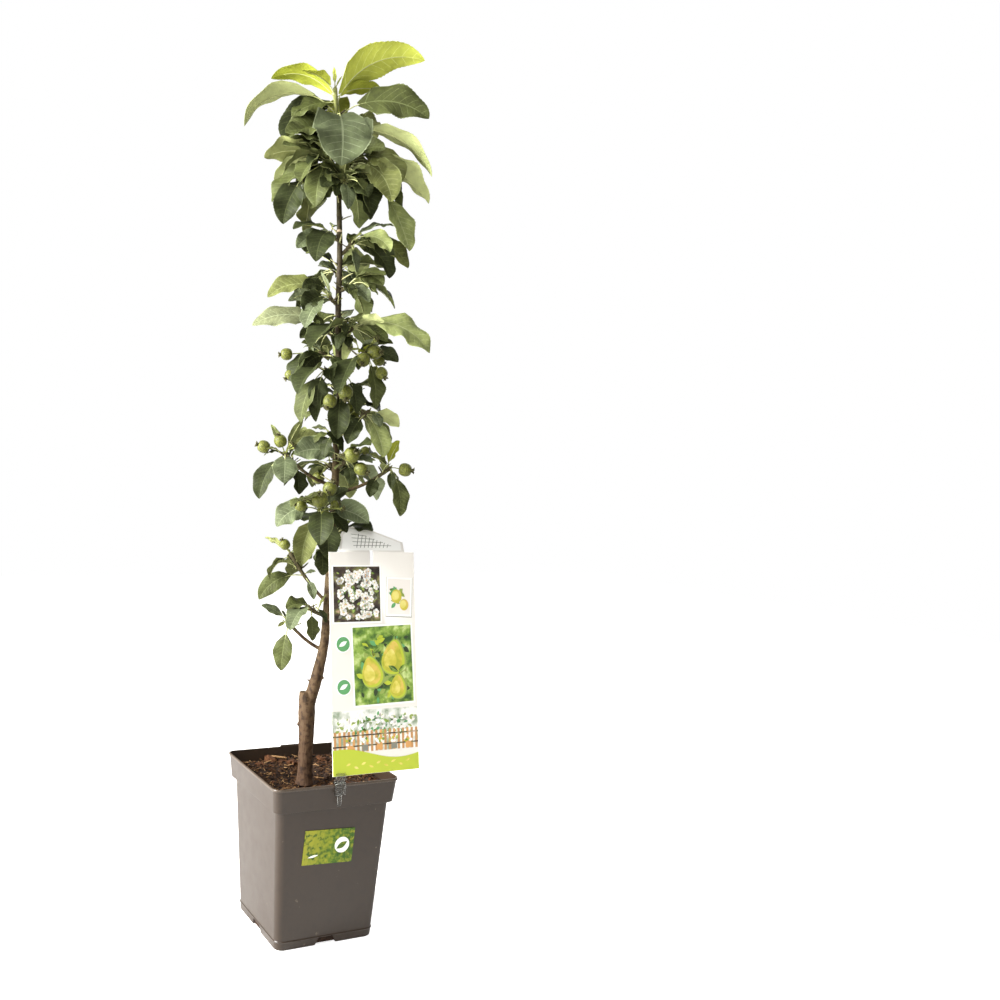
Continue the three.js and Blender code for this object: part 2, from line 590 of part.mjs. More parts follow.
// a young apple at the end of its stalk, with the dry calyx at its far pole
function makeFruit(root, offset, diameter, extra) {
  const radius = diameter / 2 + extra;
  const way = offset.clone().normalize();
  const centre = root.clone().add(offset);
  const profile = [[0, -0.9], [0.82, -0.62], [0.98, 0.3], [0.4, 0.92], [0, 1.1]];
  const edge = profile.map(([r, y]) => new THREE.Vector2(r * radius, y * radius));
  const turned = new THREE.LatheGeometry(edge, 7);
  turned.applyQuaternion(new THREE.Quaternion().setFromUnitVectors(new THREE.Vector3(0, 1, 0), way));
  turned.translate(centre.x, centre.y, centre.z);
  const girth = STALK_GIRTH / 2 + extra;
  const stalk = limb([root, centre.clone().addScaledVector(way, -radius * 0.4)], [girth, girth], 3);
  const fruit = toSolid(turned);
  return fruit.add(stalk);
}

// the leaves that the rule adds to a spur: each a 144 degree turn on from the last, round the heart,
// the upper ones held up and the lower ones hanging; those that would lean on the trunk face about
function ruleLeaves(spur, roll) {
  const leaves = [];
  const outward = Math.atan2(spur.heart[1], spur.heart[0]);
  let bearing = outward + rad(roll() * 90 - 45);
  for (let k = 0; k < spur.more; k++) {
    const share = (k + 0.5) / spur.more;
    const reach = 58 + 34 * roll();
    const rise = rad(30 - 85 * share + 20 * (roll() - 0.5));
    const inward = Math.cos(bearing - outward) < -0.45;
    const heading = inward ? bearing + Math.PI : bearing;
    const level = reach * Math.cos(rise);
    const side = Math.abs(spur.heart[0] + level * Math.cos(heading));
    bearing += rad(LEAF_TURN + 16 * (roll() - 0.5));
    const draws = [roll(), roll(), roll(), roll()];
    if (side > (spur.height > CROWN_FOOT ? CROWN_REACH : COLUMN_REACH)) continue;
    leaves.push([
      0.75 + 0.25 * draws[0], level * Math.cos(heading), level * Math.sin(heading), reach * Math.sin(rise),
      70 + 40 * draws[1], 40 * (draws[2] - 0.5), 0.85 + 0.25 * draws[3],
    ]);
  }
  return leaves;
}

// short side twigs on the stem, where the rule's leaves may also spring
function sideTwig(spur, roll) {
  const root = spurPoint(spur, THREE.MathUtils.lerp(spur.bough, 1, 0.6));
  const bearing = Math.atan2(spur.heart[1], spur.heart[0]) + rad(70 + 220 * roll());
  const reach = 9 + 5 * roll();
  const tip = root.clone().add(fromShow(reach * Math.cos(bearing), reach * Math.sin(bearing), 7));
  return limb([root, tip], [TWIG_GIRTH / 2, TWIG_GIRTH / 2.6], BUD_SIDES);
}

const trunkSolid = makeTrunk(0);
const trunkSpace = makeTrunk(GAP);
const boughSpaces = SPURS.map((spur) => (spur.bough > 0
  ? spurLimb(spur, 0, spur.bough + 0.002, GAP, 4).subtract(trunkSpace) : null));

function meets(a, b) {
  const [p, q] = [a.boundingBox(), b.boundingBox()];
  for (let k = 0; k < 3; k++) {
    if (p.min[k] > q.max[k] || q.min[k] > p.max[k]) return false;
  }
  return a.intersect(b).volume() > 1e-6;
}

// every stem, twig, fruit and leaf so far, each with the number of the spur that it grows on
const grown = [];
const fittings = [];

// adds a piece to a spur, unless the space round it meets a limb, a fitting or another spur
function grow(index, piece, space, clearOfTrunk) {
  const others = grown.filter((entry) => entry.index !== index).map((entry) => entry.solid);
  const limbs = boughSpaces.filter((solid, i) => solid && (i !== index || clearOfTrunk));
  const solids = [...others, ...limbs, ...fittings];
  if (clearOfTrunk) solids.push(trunkSpace);
  if (solids.some((solid) => meets(space, solid))) return false;
  grown.push({ index, solid: piece });
  return true;
}

// a leaf that finds no room where it wants to be leans a little outward or inward, or is skipped
function growLeaf(index, leaf) {
  const [at, across, out, up, bend, roll, breadth, petiole = PETIOLE_SHARE] = leaf;
  const root = spurPoint(SPURS[index], at);
  for (const lean of LEANS) {
    const tip = fromShow(across, out + lean, up);
    const shape = (extra) => makeLeaf(root, tip, bend, roll, breadth, petiole, extra);
    if (grow(index, shape(0), shape(GAP), true)) return;
  }
}

// ---------------------------------------------------------------- label, clip and sticker

function plate(points, thickness) {
  const shape = new THREE.Shape(points.map(([x, y]) => new THREE.Vector2(x, y)));
  const geometry = new THREE.ExtrudeGeometry(shape, { depth: thickness, bevelEnabled: false });
  geometry.rotateX(Math.PI / 2);
  return geometry;
}

// a stiff printed card that leans back towards the trunk, with a hanger flap folded back at its top
// and a slot through the fold
function makeLabel() {
  const outline = [[0, 0], [LABEL_WIDTH, 0], [LABEL_WIDTH, LABEL_HEIGHT], [0, LABEL_HEIGHT]];
  const flap = plate(FLAP_OUTLINE, LABEL_THICKNESS);
  flap.rotateX(-rad(FLAP_FOLD));
  flap.translate(0, 0, LABEL_HEIGHT - LABEL_THICKNESS / 2);
  const slot = box(SLOT_WIDTH, SLOT_LENGTH, SLOT_LENGTH, SLOT_PLACE, 0, LABEL_HEIGHT - SLOT_DROP);
  const sheet = toSolid(plate(outline, LABEL_THICKNESS)).add(toSolid(flap)).subtract(slot);
  const geometry = toGeometry(largest(sheet));
  geometry.rotateX(-rad(LABEL_TILT));
  geometry.translate(LABEL_CORNER[0], -LABEL_PLANE, LABEL_CORNER[1]);
  return geometry;
}

// a clear clip hooked over the rim: a hook block with a tongue outside, and two jaws that hold the card
function makeClip() {
  const outer = POT_SIDE / 2 + GAP;
  const bridge = POT_HEIGHT + GAP;
  const inner = POT_SIDE / 2 - CLIP_HOOK_REACH;
  const block = (width, from, to, low, high) => box(width, Math.abs(to - from), high - low,
    CLIP_PLACE, -(from + to) / 2, (low + high) / 2);
  const cardFront = LABEL_PLANE + LABEL_THICKNESS + GAP;
  const cardBack = LABEL_PLANE - GAP - Math.tan(rad(LABEL_TILT)) * (CLIP_TOP - LABEL_CORNER[1]);
  return block(CLIP_WIDTH, outer, outer + CLIP_BLOCK, CLIP_HOOK_FOOT, bridge + CLIP_BRIDGE)
    .add(block(CLIP_TONGUE_WIDTH, outer, outer + CLIP_SKIN, CLIP_TONGUE_FOOT, CLIP_HOOK_FOOT + 1))
    .add(block(CLIP_WIDTH, inner - CLIP_SKIN, outer + CLIP_SKIN, bridge, bridge + CLIP_BRIDGE))
    .add(block(CLIP_WIDTH, inner - CLIP_SKIN, inner, CLIP_HOOK_FOOT, bridge + 1))
    .add(block(CLIP_WIDTH, cardFront, cardFront + CLIP_SKIN, bridge + 1, CLIP_TOP))
    .add(block(CLIP_WIDTH, cardBack - CLIP_SKIN, cardBack, bridge + 1, CLIP_TOP));
}

// a printed sticker on the container's wall, which leans with it
function makeSticker() {
  const geometry = new THREE.BoxGeometry(STICKER_WIDTH, STICKER_THICKNESS, STICKER_HEIGHT);
  const slope = Math.atan2((POT_NECK_SIDE - POT_FOOT_SIDE) / 2, NECK);
  geometry.rotateY(rad(-STICKER_TURN));
  geometry.rotateX(slope);
  const [x, z] = STICKER_PLACE;
  const wall = wallSide(z) / 2;
  geometry.translate(x, -(wall + STICKER_THICKNESS / 2 + GAP + 0.05), z);
  return geometry;
}

// ---------------------------------------------------------------- the whole

const tree = new THREE.Group();

function finish(name, geometry, color, roughness) {
  const mesh = new THREE.Mesh(geometry, new THREE.MeshStandardMaterial({ color, roughness, metalness: 0 }));
  mesh.name = name;
  tree.add(mesh);
}

const labelGeometry = makeLabel();
const clipSolid = makeClip();
fittings.push(toSolid(labelGeometry), clipSolid);

finish('pot', toGeometry(makePot()), 0x6a6057, 0.4);
finish('compost', toGeometry(makeSoil()), 0x3a2a1e, 0.95);
finish('trunk', toGeometry(largest(trunkSolid)), 0x7b6a55, 0.8);
finish('label_card', labelGeometry, 0xe9e9e2, 0.4);
finish('label_clip', toGeometry(largest(clipSolid)), 0xb9b9b4, 0.2);
finish('pot_sticker', makeSticker(), 0x9ccb3b, 0.4);

const rules = SPURS.map((spur, index) => {
  const roll = dice(SEED + 101 * (index + 1));
  return { twig: sideTwig(spur, roll), leaves: ruleLeaves(spur, roll) };
});
SPURS.forEach((spur, index) => {
  const clear = spur.bough > 0 ? spur.bough + GAP / new THREE.Vector3(...spur.heart).length() : 0;
  const stem = spurLimb(spur, clear, 1, 0, 2).subtract(trunkSpace);
  const twig = rules[index].twig.subtract(trunkSpace);
  grow(index, stem, spurLimb(spur, clear, 1, GAP, 2).subtract(trunkSpace), false);
  grow(index, twig, twig, false);
});
SPURS.forEach((spur, index) => spur.fruit.forEach(([across, out, up, diameter]) => {
  const shape = (extra) => makeFruit(spurPoint(spur, 1), fromShow(across, out, up), diameter, extra);
  grow(index, shape(0), shape(GAP), true);
}));
SPURS.forEach((spur, index) => spur.leaves.forEach((leaf) => growLeaf(index, leaf)));
rules.forEach(({ leaves }, index) => leaves.forEach((leaf) => growLeaf(index, leaf)));

SPURS.forEach((spur, index) => {
  if (spur.bough > 0) {
    const bough = largest(spurLimb(spur, 0, spur.bough, 0, 3).subtract(trunkSpace));
    finish(`bough_${spur.name}`, toGeometry(bough), 0x5d4f42, 0.8);
  }
  const parts = grown.filter((entry) => entry.index === index).map((entry) => entry.solid);
  const mass = wasm.Manifold.union(parts).subtract(trunkSpace);
  finish(spur.name, toGeometry(largest(mass)), 0x7d9450, 0.6);
});

export default tree;
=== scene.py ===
import math
from collections import namedtuple

import bpy
import numpy as np
from mathutils import Matrix, Vector, noise


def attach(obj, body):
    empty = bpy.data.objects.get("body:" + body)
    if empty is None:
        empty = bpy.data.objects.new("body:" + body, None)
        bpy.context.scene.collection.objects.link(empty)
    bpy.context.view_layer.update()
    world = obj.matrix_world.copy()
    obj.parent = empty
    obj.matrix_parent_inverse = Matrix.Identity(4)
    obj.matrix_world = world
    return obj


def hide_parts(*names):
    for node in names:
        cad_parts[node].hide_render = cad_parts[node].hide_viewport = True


# A dwarf apple tree grown as a slim column, in a square nursery pot, with its picture label.
# Sizes are in millimetres until a piece is made, and +Z is up. Places on the tree are [across, out, up]:
# across runs to the right seen from its show side, and out comes towards the viewer.
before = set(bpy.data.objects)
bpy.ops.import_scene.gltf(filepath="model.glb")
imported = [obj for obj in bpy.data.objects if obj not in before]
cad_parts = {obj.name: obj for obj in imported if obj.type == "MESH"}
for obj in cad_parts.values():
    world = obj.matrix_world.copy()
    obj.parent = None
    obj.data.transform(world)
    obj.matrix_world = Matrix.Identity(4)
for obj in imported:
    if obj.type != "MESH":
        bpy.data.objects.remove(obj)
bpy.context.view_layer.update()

# ------------------------------------------------------------------ view, light and floor
# The tree stands on a white floor in a white room, seen from its show side. A broad soft light from its
# left makes the pot's left wall bright and leaves the front in quiet shade; three weak ones lift the
# crown, the back and the front. Places and sizes in this section are in metres.

UP = Vector((0, 0, 1))
SHOW_TURN = 25
EYE = Vector((-0.6034, -1.2821, 0.662))
PITCH = -2.2
ROLL = 2.7
LENS = 36
SIDE_SHIFT = 0.18
ROOM_LIGHT = (1, 0.985, 0.96, 1)
ROOM_GLOW = 0.26
FLOOR_HALF = 4.0
FLOOR_GLOW = 0.8
# Each light: its name, its place, what it is aimed at, its width and its power.
LIGHTS = [
    ("key", (-2.25, 0.2, 1.3), (0, 0, 0.55), 1.6, 302),
    ("top", (-0.5, -0.5, 2.9), (0, 0, 0.8), 1.2, 16),
    ("back", (2.1, 1.5, 1.8), (0, 0, 0.6), 1.6, 45),
    ("fill", (-1.1, -2.3, 1.9), (0, 0, 0.8), 1.6, 34),
]


def from_show(across, out, up):
    """A place or direction on the tree, from the show side's across, out and up."""
    c, s = math.cos(math.radians(SHOW_TURN)), math.sin(math.radians(SHOW_TURN))
    return Vector((across * c - out * s, -across * s - out * c, up))


def linear(colour):
    """The shader's colour for a colour written as on a screen, #rrggbb."""
    parts = [int(colour[k : k + 2], 16) / 255 for k in (1, 3, 5)]
    return [c / 12.92 if c < 0.04045 else ((c + 0.055) / 1.055) ** 2.4 for c in parts] + [1]


def make_camera():
    across = from_show(1, 0, 0)
    away = from_show(0, -1, 0)
    pitch, roll = math.radians(PITCH), math.radians(ROLL)
    ahead = away * math.cos(pitch) + UP * math.sin(pitch)
    rise = UP * math.cos(pitch) - away * math.sin(pitch)
    right = across * math.cos(roll) + rise * math.sin(roll)
    top = rise * math.cos(roll) - across * math.sin(roll)
    camera = bpy.data.objects.new("camera", bpy.data.cameras.new("camera"))
    camera.data.lens = LENS
    camera.data.shift_x = SIDE_SHIFT
    turned = Matrix((right, top, -ahead)).transposed().to_4x4()
    camera.matrix_world = Matrix.Translation(EYE) @ turned
    bpy.context.scene.collection.objects.link(camera)
    bpy.context.scene.camera = camera


def make_light(name, place, aim, size, power):
    light = bpy.data.lights.new(name, "AREA")
    light.shape = "DISK"
    light.size = size
    light.energy = power
    made = bpy.data.objects.new(name, light)
    made.location = place
    made.rotation_euler = (Vector(aim) - Vector(place)).to_track_quat("-Z", "Y").to_euler()
    bpy.context.scene.collection.objects.link(made)


def make_room():
    """A white room: it looks white, and lights the tree evenly with its glow."""
    world = bpy.data.worlds.new("white_room")
    world.use_nodes = True
    nodes, links = world.node_tree.nodes, world.node_tree.links
    seen = nodes["Background"]
    seen.inputs["Color"].default_value = (1, 1, 1, 1)
    lit = nodes.new("ShaderNodeBackground")
    lit.inputs["Color"].default_value = ROOM_LIGHT
    lit.inputs["Strength"].default_value = ROOM_GLOW
    path = nodes.new("ShaderNodeLightPath")
    mix = nodes.new("ShaderNodeMixShader")
    links.new(path.outputs["Is Camera Ray"], mix.inputs[0])
    links.new(lit.outputs[0], mix.inputs[1])
    links.new(seen.outputs[0], mix.inputs[2])
    links.new(mix.outputs[0], nodes["World Output"].inputs["Surface"])
    bpy.context.scene.world = world


def material(name, colour, roughness, **sockets):
    """A material with one principled shader; further sockets are given by name."""
    made = bpy.data.materials.new(name)
    made.use_nodes = True
    shader = made.node_tree.nodes["Principled BSDF"]
    shader.inputs["Base Color"].default_value = linear(colour)
    shader.inputs["Roughness"].default_value = roughness
    for socket, value in sockets.items():
        shader.inputs[socket.replace("_", " ")].default_value = value
    return made


def make_floor():
    """The floor's own glow is seen by the viewer only, and puts no light on the tree."""
    mesh = bpy.data.meshes.new("floor")
    corners = [(x * FLOOR_HALF, y * FLOOR_HALF, 0) for x, y in ((-1, -1), (1, -1), (1, 1), (-1, 1))]
    mesh.from_pydata(corners, [], [(0, 1, 2, 3)])
    white = material("floor_white", "#e4e2de", 0.7, Emission_Color=linear("#ffffff"))
    seen = white.node_tree.nodes.new("ShaderNodeLightPath").outputs["Is Camera Ray"]
    bright = white.node_tree.nodes.new("ShaderNodeMapRange")
    white.node_tree.links.new(seen, bright.inputs["Value"])
    bright.inputs["To Min"].default_value = 0.0
    bright.inputs["To Max"].default_value = FLOOR_GLOW
    shader = white.node_tree.nodes["Principled BSDF"]
    white.node_tree.links.new(bright.outputs[0], shader.inputs["Emission Strength"])
    mesh.materials.append(white)
    floor = bpy.data.objects.new("floor", mesh)
    bpy.context.scene.collection.objects.link(floor)


bpy.context.scene.view_settings.view_transform = "Standard"
make_camera()
make_room()
for light_row in LIGHTS:
    make_light(*light_row)
make_floor()


# ------------------------------------------------------------------ pot
# An injection-moulded square container of taupe plastic, with a stepped collar, a thin lip, a moulded
# line above the foot and a drain notch in the middle of each foot edge. It is scuffed and dusty.
# The lip, and the lug on its rim, have a lighter plastic that is a painted highlight.

MM = 0.001
POT_SIDE = 188
POT_HEIGHT = 229
POT_FOOT_SIDE = 146
POT_NECK_SIDE = 169
COLLAR_HEIGHT = 34
COLLAR_DRAFT = 3
LIP_HEIGHT = 4
LIP_STEP = 1.2
LIP_SLOPE = 0.6
LIP_ROUND = 0.7
LIP_WALL = 2.2
POT_WALL = 1.8
POT_FLOOR = 2.6
POT_CORNER = 11
POT_EDGE = 0.5
CORNER_STEPS = 8
LEDGE_RISE = 3
FOOT_BAND = 11
FOOT_BEVEL = 1.5
RIDGE_OUT = 0.8
RIDGE_SLOPE = 0.6
RIDGE_BAND = 1.2
NOTCH_WIDTH = 26
NOTCH_HEIGHT = 11
NOTCH_FLARE = 4
NOTCH_ROUND = 2
NOTCH_DEPTH = 8
CUTTER_OVER = 6
LUG_LENGTH = 34
LUG_PLACE = 8
LUG_RISE = 2.2
LUG_ROOT = 1
LUG_EDGE = 0.6
NECK = POT_HEIGHT - COLLAR_HEIGHT
# The lip's plastic is lighter than the wall's: a painted highlight on the lip.
WALL_PLASTIC, LIP_HIGHLIGHT_PLASTIC = range(2)


class Shape:
    """Points and faces gathered for one piece; each face has the number of its material."""

    def __init__(self):
        self.points, self.faces, self.slots = [], [], []

    def add(self, points, faces, slot=0):
        start = len(self.points)
        self.points += points
        self.faces += [[start + k for k in face] for face in faces]
        self.slots += slot if isinstance(slot, list) else [slot] * len(faces)

    def loft(self, rings, slot=0):
        """A closed body through rings of equally many points."""
        n = len(rings[0])
        faces = [
            (r * n + k, r * n + (k + 1) % n, (r + 1) * n + (k + 1) % n, (r + 1) * n + k)
            for r in range(len(rings) - 1)
            for k in range(n)
        ]
        last = (len(rings) - 1) * n
        ends = [list(range(n))[::-1], [last + k for k in range(n)]]
        self.add([p for ring in rings for p in ring], faces + ends, slot)

    def prism(self, outline, low, high, slot=0):
        """A flat plate in the plane of x and z, from y = low to y = high."""
        self.loft([[Vector((x, y, z)) for x, z in outline] for y in (high, low)], slot)

    def block(self, low, high, slot=0):
        (x0, y0, z0), (x1, y1, z1) = low, high
        self.prism([(x0, z0), (x1, z0), (x1, z1), (x0, z1)], y0, y1, slot)

    def piece(self, name, materials, smooth=40, move=None):
        """The object of these points, in metres, on the tree's one body."""
        mesh = bpy.data.meshes.new(name)
        points = self.points if move is None else [move @ p for p in self.points]
        mesh.from_pydata([p * MM for p in points], [], self.faces)
        for made in materials:
            mesh.materials.append(made)
        mesh.polygons.foreach_set("material_index", self.slots)
        mesh.polygons.foreach_set("use_smooth", [True] * len(self.faces))
        mesh.set_sharp_from_angle(angle=math.radians(smooth))
        mesh.update()
        made = bpy.data.objects.new(name, mesh)
        bpy.context.scene.collection.objects.link(made)
        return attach(made, "root")


def settle(piece):
    """Makes the piece's modifiers part of its mesh."""
    bpy.context.view_layer.update()
    graph = bpy.context.evaluated_depsgraph_get()
    mesh = bpy.data.meshes.new_from_object(piece.evaluated_get(graph))
    piece.modifiers.clear()
    piece.data = mesh


def soften(piece, width):
    """Rounds the piece's sharp edges."""
    bevel = piece.modifiers.new("bevel", "BEVEL")
    bevel.width = width * MM
    bevel.segments = 2
    bevel.limit_method = "ANGLE"
    bevel.angle_limit = math.radians(30)
    settle(piece)


def combine(piece, tool, operation):
    """Cuts the tool's shape out of the piece or joins it on, and puts the tool away."""
    step = piece.modifiers.new("combine", "BOOLEAN")
    step.operation = operation
    step.object = tool
    settle(piece)
    bpy.data.objects.remove(tool)


def add_node(made, kind, inputs, **settings):
    """A shader node of the material; each input is a number, a colour or another node's output."""
    tree = made.node_tree
    fresh = tree.nodes.new("ShaderNode" + kind)
    for key, value in settings.items():
        setattr(fresh, key, value)
    for socket, value in inputs.items():
        if isinstance(value, bpy.types.NodeSocket):
            tree.links.new(value, fresh.inputs[socket])
        else:
            fresh.inputs[socket].default_value = value
    return fresh


def grain(made, scale, detail=4.0, stretch=(1, 1, 1)):
    """Cloudy noise on the piece, with so many clouds to a metre."""
    place = add_node(made, "TexCoord", {}).outputs["Object"]
    mapping = add_node(made, "Mapping", {"Vector": place, "Scale": stretch})
    noisy = add_node(made, "TexNoise", {"Vector": mapping.outputs[0], "Scale": scale, "Detail": detail})
    return noisy.outputs["Fac"]


def ramp(made, share, stops):
    """Colours dealt out along a share from 0 to 1."""
    fresh = add_node(made, "ValToRGB", {"Fac": share})
    band = fresh.color_ramp
    while len(band.elements) < len(stops):
        band.elements.new(1)
    for element, (place, colour) in zip(band.elements, stops):
        element.position = place
        element.color = linear(colour)
    return fresh.outputs["Color"]


def feed(made, socket, output):
    shader = made.node_tree.nodes["Principled BSDF"]
    made.node_tree.links.new(output, shader.inputs[socket])


def relief(made, height, depth):
    """Fine relief so many millimetres deep."""
    bump = add_node(made, "Bump", {"Height": height, "Distance": depth * MM})
    feed(made, "Normal", bump.outputs[0])


def spread(made, share, low, high):
    """A share from 0 to 1, spread from low to high."""
    fresh = add_node(made, "MapRange", {"Value": share, "To Min": low, "To Max": high})
    return fresh.outputs[0]


def pot_plastic(name, dark, base, scuff):
    made = material(name, base, 0.38, Specular_IOR_Level=0.42)
    streaks = grain(made, 110, 9, (1, 1, 0.8))
    feed(made, "Base Color", ramp(made, streaks, [(0.3, dark), (0.5, base), (0.69, base), (0.75, scuff)]))
    feed(made, "Roughness", spread(made, grain(made, 60, 3), 0.28, 0.42))
    relief(made, grain(made, 1100, 2), 0.06)
    return made


def square_ring(side, corner, height):
    """One level of the pot: a square with round corners."""
    half = side / 2 - corner
    ring = []
    for quarter, (sx, sy) in enumerate(((1, 1), (-1, 1), (-1, -1), (1, -1))):
        for k in range(CORNER_STEPS + 1):
            turn = math.pi / 2 * (quarter + k / CORNER_STEPS)
            x, y = sx * half + corner * math.cos(turn), sy * half + corner * math.sin(turn)
            ring.append(Vector((x, y, height)))
    return ring


def wall_side(height):
    return POT_FOOT_SIDE + (POT_NECK_SIDE - POT_FOOT_SIDE) * height / NECK


def hollow_side(height):
    """The side of the pot's hollow, which widens above the ledge under the collar."""
    if height <= NECK:
        return wall_side(height) - 2 * POT_WALL
    foot = POT_SIDE - 2 * (LIP_STEP + COLLAR_DRAFT + POT_WALL)
    return foot + (POT_SIDE - 2 * LIP_WALL - foot) * (height - NECK) / COLLAR_HEIGHT


def pot_rings():
    """The pot's levels, up its outside, over the lip and down its inside."""
    lip = POT_HEIGHT - LIP_HEIGHT
    ridge = wall_side(FOOT_BAND) + 2 * RIDGE_OUT
    outside = [
        (POT_FOOT_SIDE - 2 * FOOT_BEVEL, 0),
        (POT_FOOT_SIDE, FOOT_BEVEL),
        (wall_side(FOOT_BAND), FOOT_BAND),
        (ridge, FOOT_BAND + RIDGE_SLOPE),
        (ridge, FOOT_BAND + RIDGE_SLOPE + RIDGE_BAND),
        (wall_side(FOOT_BAND), FOOT_BAND + 2 * RIDGE_SLOPE + RIDGE_BAND),
        (wall_side(NECK - 1), NECK - 1),
        (POT_SIDE - 2 * (LIP_STEP + COLLAR_DRAFT), NECK),
        (POT_SIDE - 2 * LIP_STEP, lip),
        (POT_SIDE, lip + LIP_SLOPE),
        (POT_SIDE, POT_HEIGHT - LIP_ROUND),
        (POT_SIDE - 2 * LIP_ROUND, POT_HEIGHT),
    ]
    inside = [(hollow_side(h), h) for h in (POT_HEIGHT, NECK + LEDGE_RISE, NECK, POT_FLOOR)]
    rings = [square_ring(side, POT_CORNER, height) for side, height in outside]
    return rings + [square_ring(side, POT_CORNER - POT_WALL, height) for side, height in inside]


def notch_cutter():
    """What is cut out of the foot of one wall: wide at the floor, with its upper corners taken off."""
    half, top = NOTCH_WIDTH / 2, NOTCH_HEIGHT
    foot, brow = half + NOTCH_FLARE, half - NOTCH_ROUND
    outline = [(-foot, -1), (foot, -1), (half, top / 2), (brow, top), (-brow, top), (-half, top / 2)]
    wall = -POT_FOOT_SIDE / 2
    cutter = Shape()
    cutter.prism(outline, wall - CUTTER_OVER, wall + NOTCH_DEPTH)
    return cutter


def make_pot():
    body = Shape()
    body.loft(pot_rings())
    # The second plastic is the wall's made lighter, a painted highlight on the lip; the lug on the rim
    # takes it too.
    plastics = [
        pot_plastic("pot_taupe", "#291f16", "#2d2218", "#5a4e41"),
        pot_plastic("pot_lip_painted_highlight", "#3e3329", "#453a2f", "#7d7265"),
    ]
    pot = body.piece("pot_shell", plastics)
    notch = notch_cutter()
    for side in range(4):
        quarter = Matrix.Rotation(side * math.pi / 2, 4, "Z")
        combine(pot, notch.piece(f"cutter_{side}", [], move=quarter), "DIFFERENCE")
    soften(pot, POT_EDGE)
    lip_foot = POT_HEIGHT - LIP_HEIGHT + LIP_SLOPE / 2
    # Faces of the lip take the lighter plastic: a painted highlight.
    for face in pot.data.polygons:
        face.material_index = LIP_HIGHLIGHT_PLASTIC if face.center.z > lip_foot * MM else WALL_PLASTIC
    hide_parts("pot")
    lug = Shape()
    inner = POT_SIDE / 2 - LIP_WALL
    lug.block(
        (LUG_PLACE - LUG_LENGTH / 2, inner, POT_HEIGHT - LUG_ROOT),
        (LUG_PLACE + LUG_LENGTH / 2, inner + POT_WALL, POT_HEIGHT + LUG_RISE),
    )
    tab = lug.piece("pot_lug", plastics[LIP_HIGHLIGHT_PLASTIC:])
    soften(tab, LUG_EDGE)
    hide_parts("pot")


make_pot()


# ------------------------------------------------------------------ compost
# Moist peat and bark fill the pot to a thumb's width below the rim. The peat is an uneven dark mass
# that fits the hollow; bark chips, reddish crumbs and a few pale splinters of wood lie loose on it.

GAP = 0.3
SOIL_TOP = 200
SOIL_SINK = 1.8
HEAP = 14
HEAP_REACH = 56
DISH_RADIUS = 16
DISH_SIDE = -7
CLOD_HEIGHT = 1.9
CLOD_GRAIN = 0.06
CRUMB_HEIGHT = 0.8
CRUMB_GRAIN = 0.35
SIDE_STEPS = 24
SOIL_CIRCLES = 34
CHIP_MARGIN = 3
CHIP_CORNERS = 6
CHIP_THICK, MORE_THICK = 0.8, 0.22
CHIP_LIFT, LEAN_LIFT = 0.25, 0.3
CHIP_LEAN = 0.9
CHIP_LENGTHS, CHIP_WIDTHS = (0.6, 1.1), (0.6, 0.7)
# A chip's levels: how high in its thickness, and the share of its full size there.
CHIP_LEVELS = ((-0.5, 0.8), (0.1, 1), (0.5, 0.78))
# Each kind of chip: how many, their usual length and width, and their dark and light colour.
CHIPS = {
    "chip_dark": (900, 6, 3, "#190f08", "#2b1b10"),
    "chip_brown": (1000, 9, 1.5, "#33200f", "#52371f"),
    "chip_red": (150, 8, 3.2, "#38200f", "#52331c"),
    "chip_pale": (230, 11, 0.8, "#684c2c", "#a3815a"),
}
# Long pale splinters, as (across, out, lift, length, width, turn).
LONG_CHIPS = [
    (-50, -66, 4, 31, 6, 4), (22, 44, 0, 17, 3, -35), (-58, -12, 0, 18, 3, 70), (70, 46, 1, 20, 3, 50),
]
# Heaps of thick red bark, as (across, out, length, width).
LUMPS = [
    (-60, -60, 26, 13), (-44, -62, 26, 14), (-28, -58, 22, 13), (-74, -38, 17, 10), (14, -78, 22, 12),
    (36, -62, 18, 11),
]
LUMP_CHIPS = 3
LUMP_SPREAD = 9
LUMP_SHARE = 0.7
LUMP_SWELL = 2.4
SEED = 4127
MASK = 0xFFFFFFFF


def dice(seed):
    """Repeatable random numbers from 0 to 1."""
    state = seed & MASK

    def roll():
        nonlocal state
        state = (state + 0x6D2B79F5) & MASK
        t = state
        t = ((t ^ (t >> 15)) * (t | 1)) & MASK
        t ^= (t + (((t ^ (t >> 7)) * (t | 61)) & MASK)) & MASK
        return (t ^ (t >> 14)) / 4294967296

    return roll


def earthy(name, dark, light, scale, depth):
    made = material(name, light, 0.95, Specular_IOR_Level=0.2)
    feed(made, "Base Color", ramp(made, grain(made, scale, 6), [(0.32, dark), (0.68, light)]))
    relief(made, grain(made, scale * 3, 5), depth)
    return made


def soil_height(x, y):
    """The surface is lowest round the trunk and heaped up towards the pot's walls."""
    clods = noise.fractal(Vector((x, y, 0)) * CLOD_GRAIN, 1, 2.2, 5)
    crumbs = noise.noise(Vector((x, y, 40)) * CRUMB_GRAIN)
    away = max(0.0, min(1.0, (math.hypot(x - DISH_SIDE, y) - DISH_RADIUS) / HEAP_REACH))
    heap = HEAP * away * away * (3 - 2 * away)
    return SOIL_TOP - SOIL_SINK + heap + CLOD_HEIGHT * clods + CRUMB_HEIGHT * crumbs


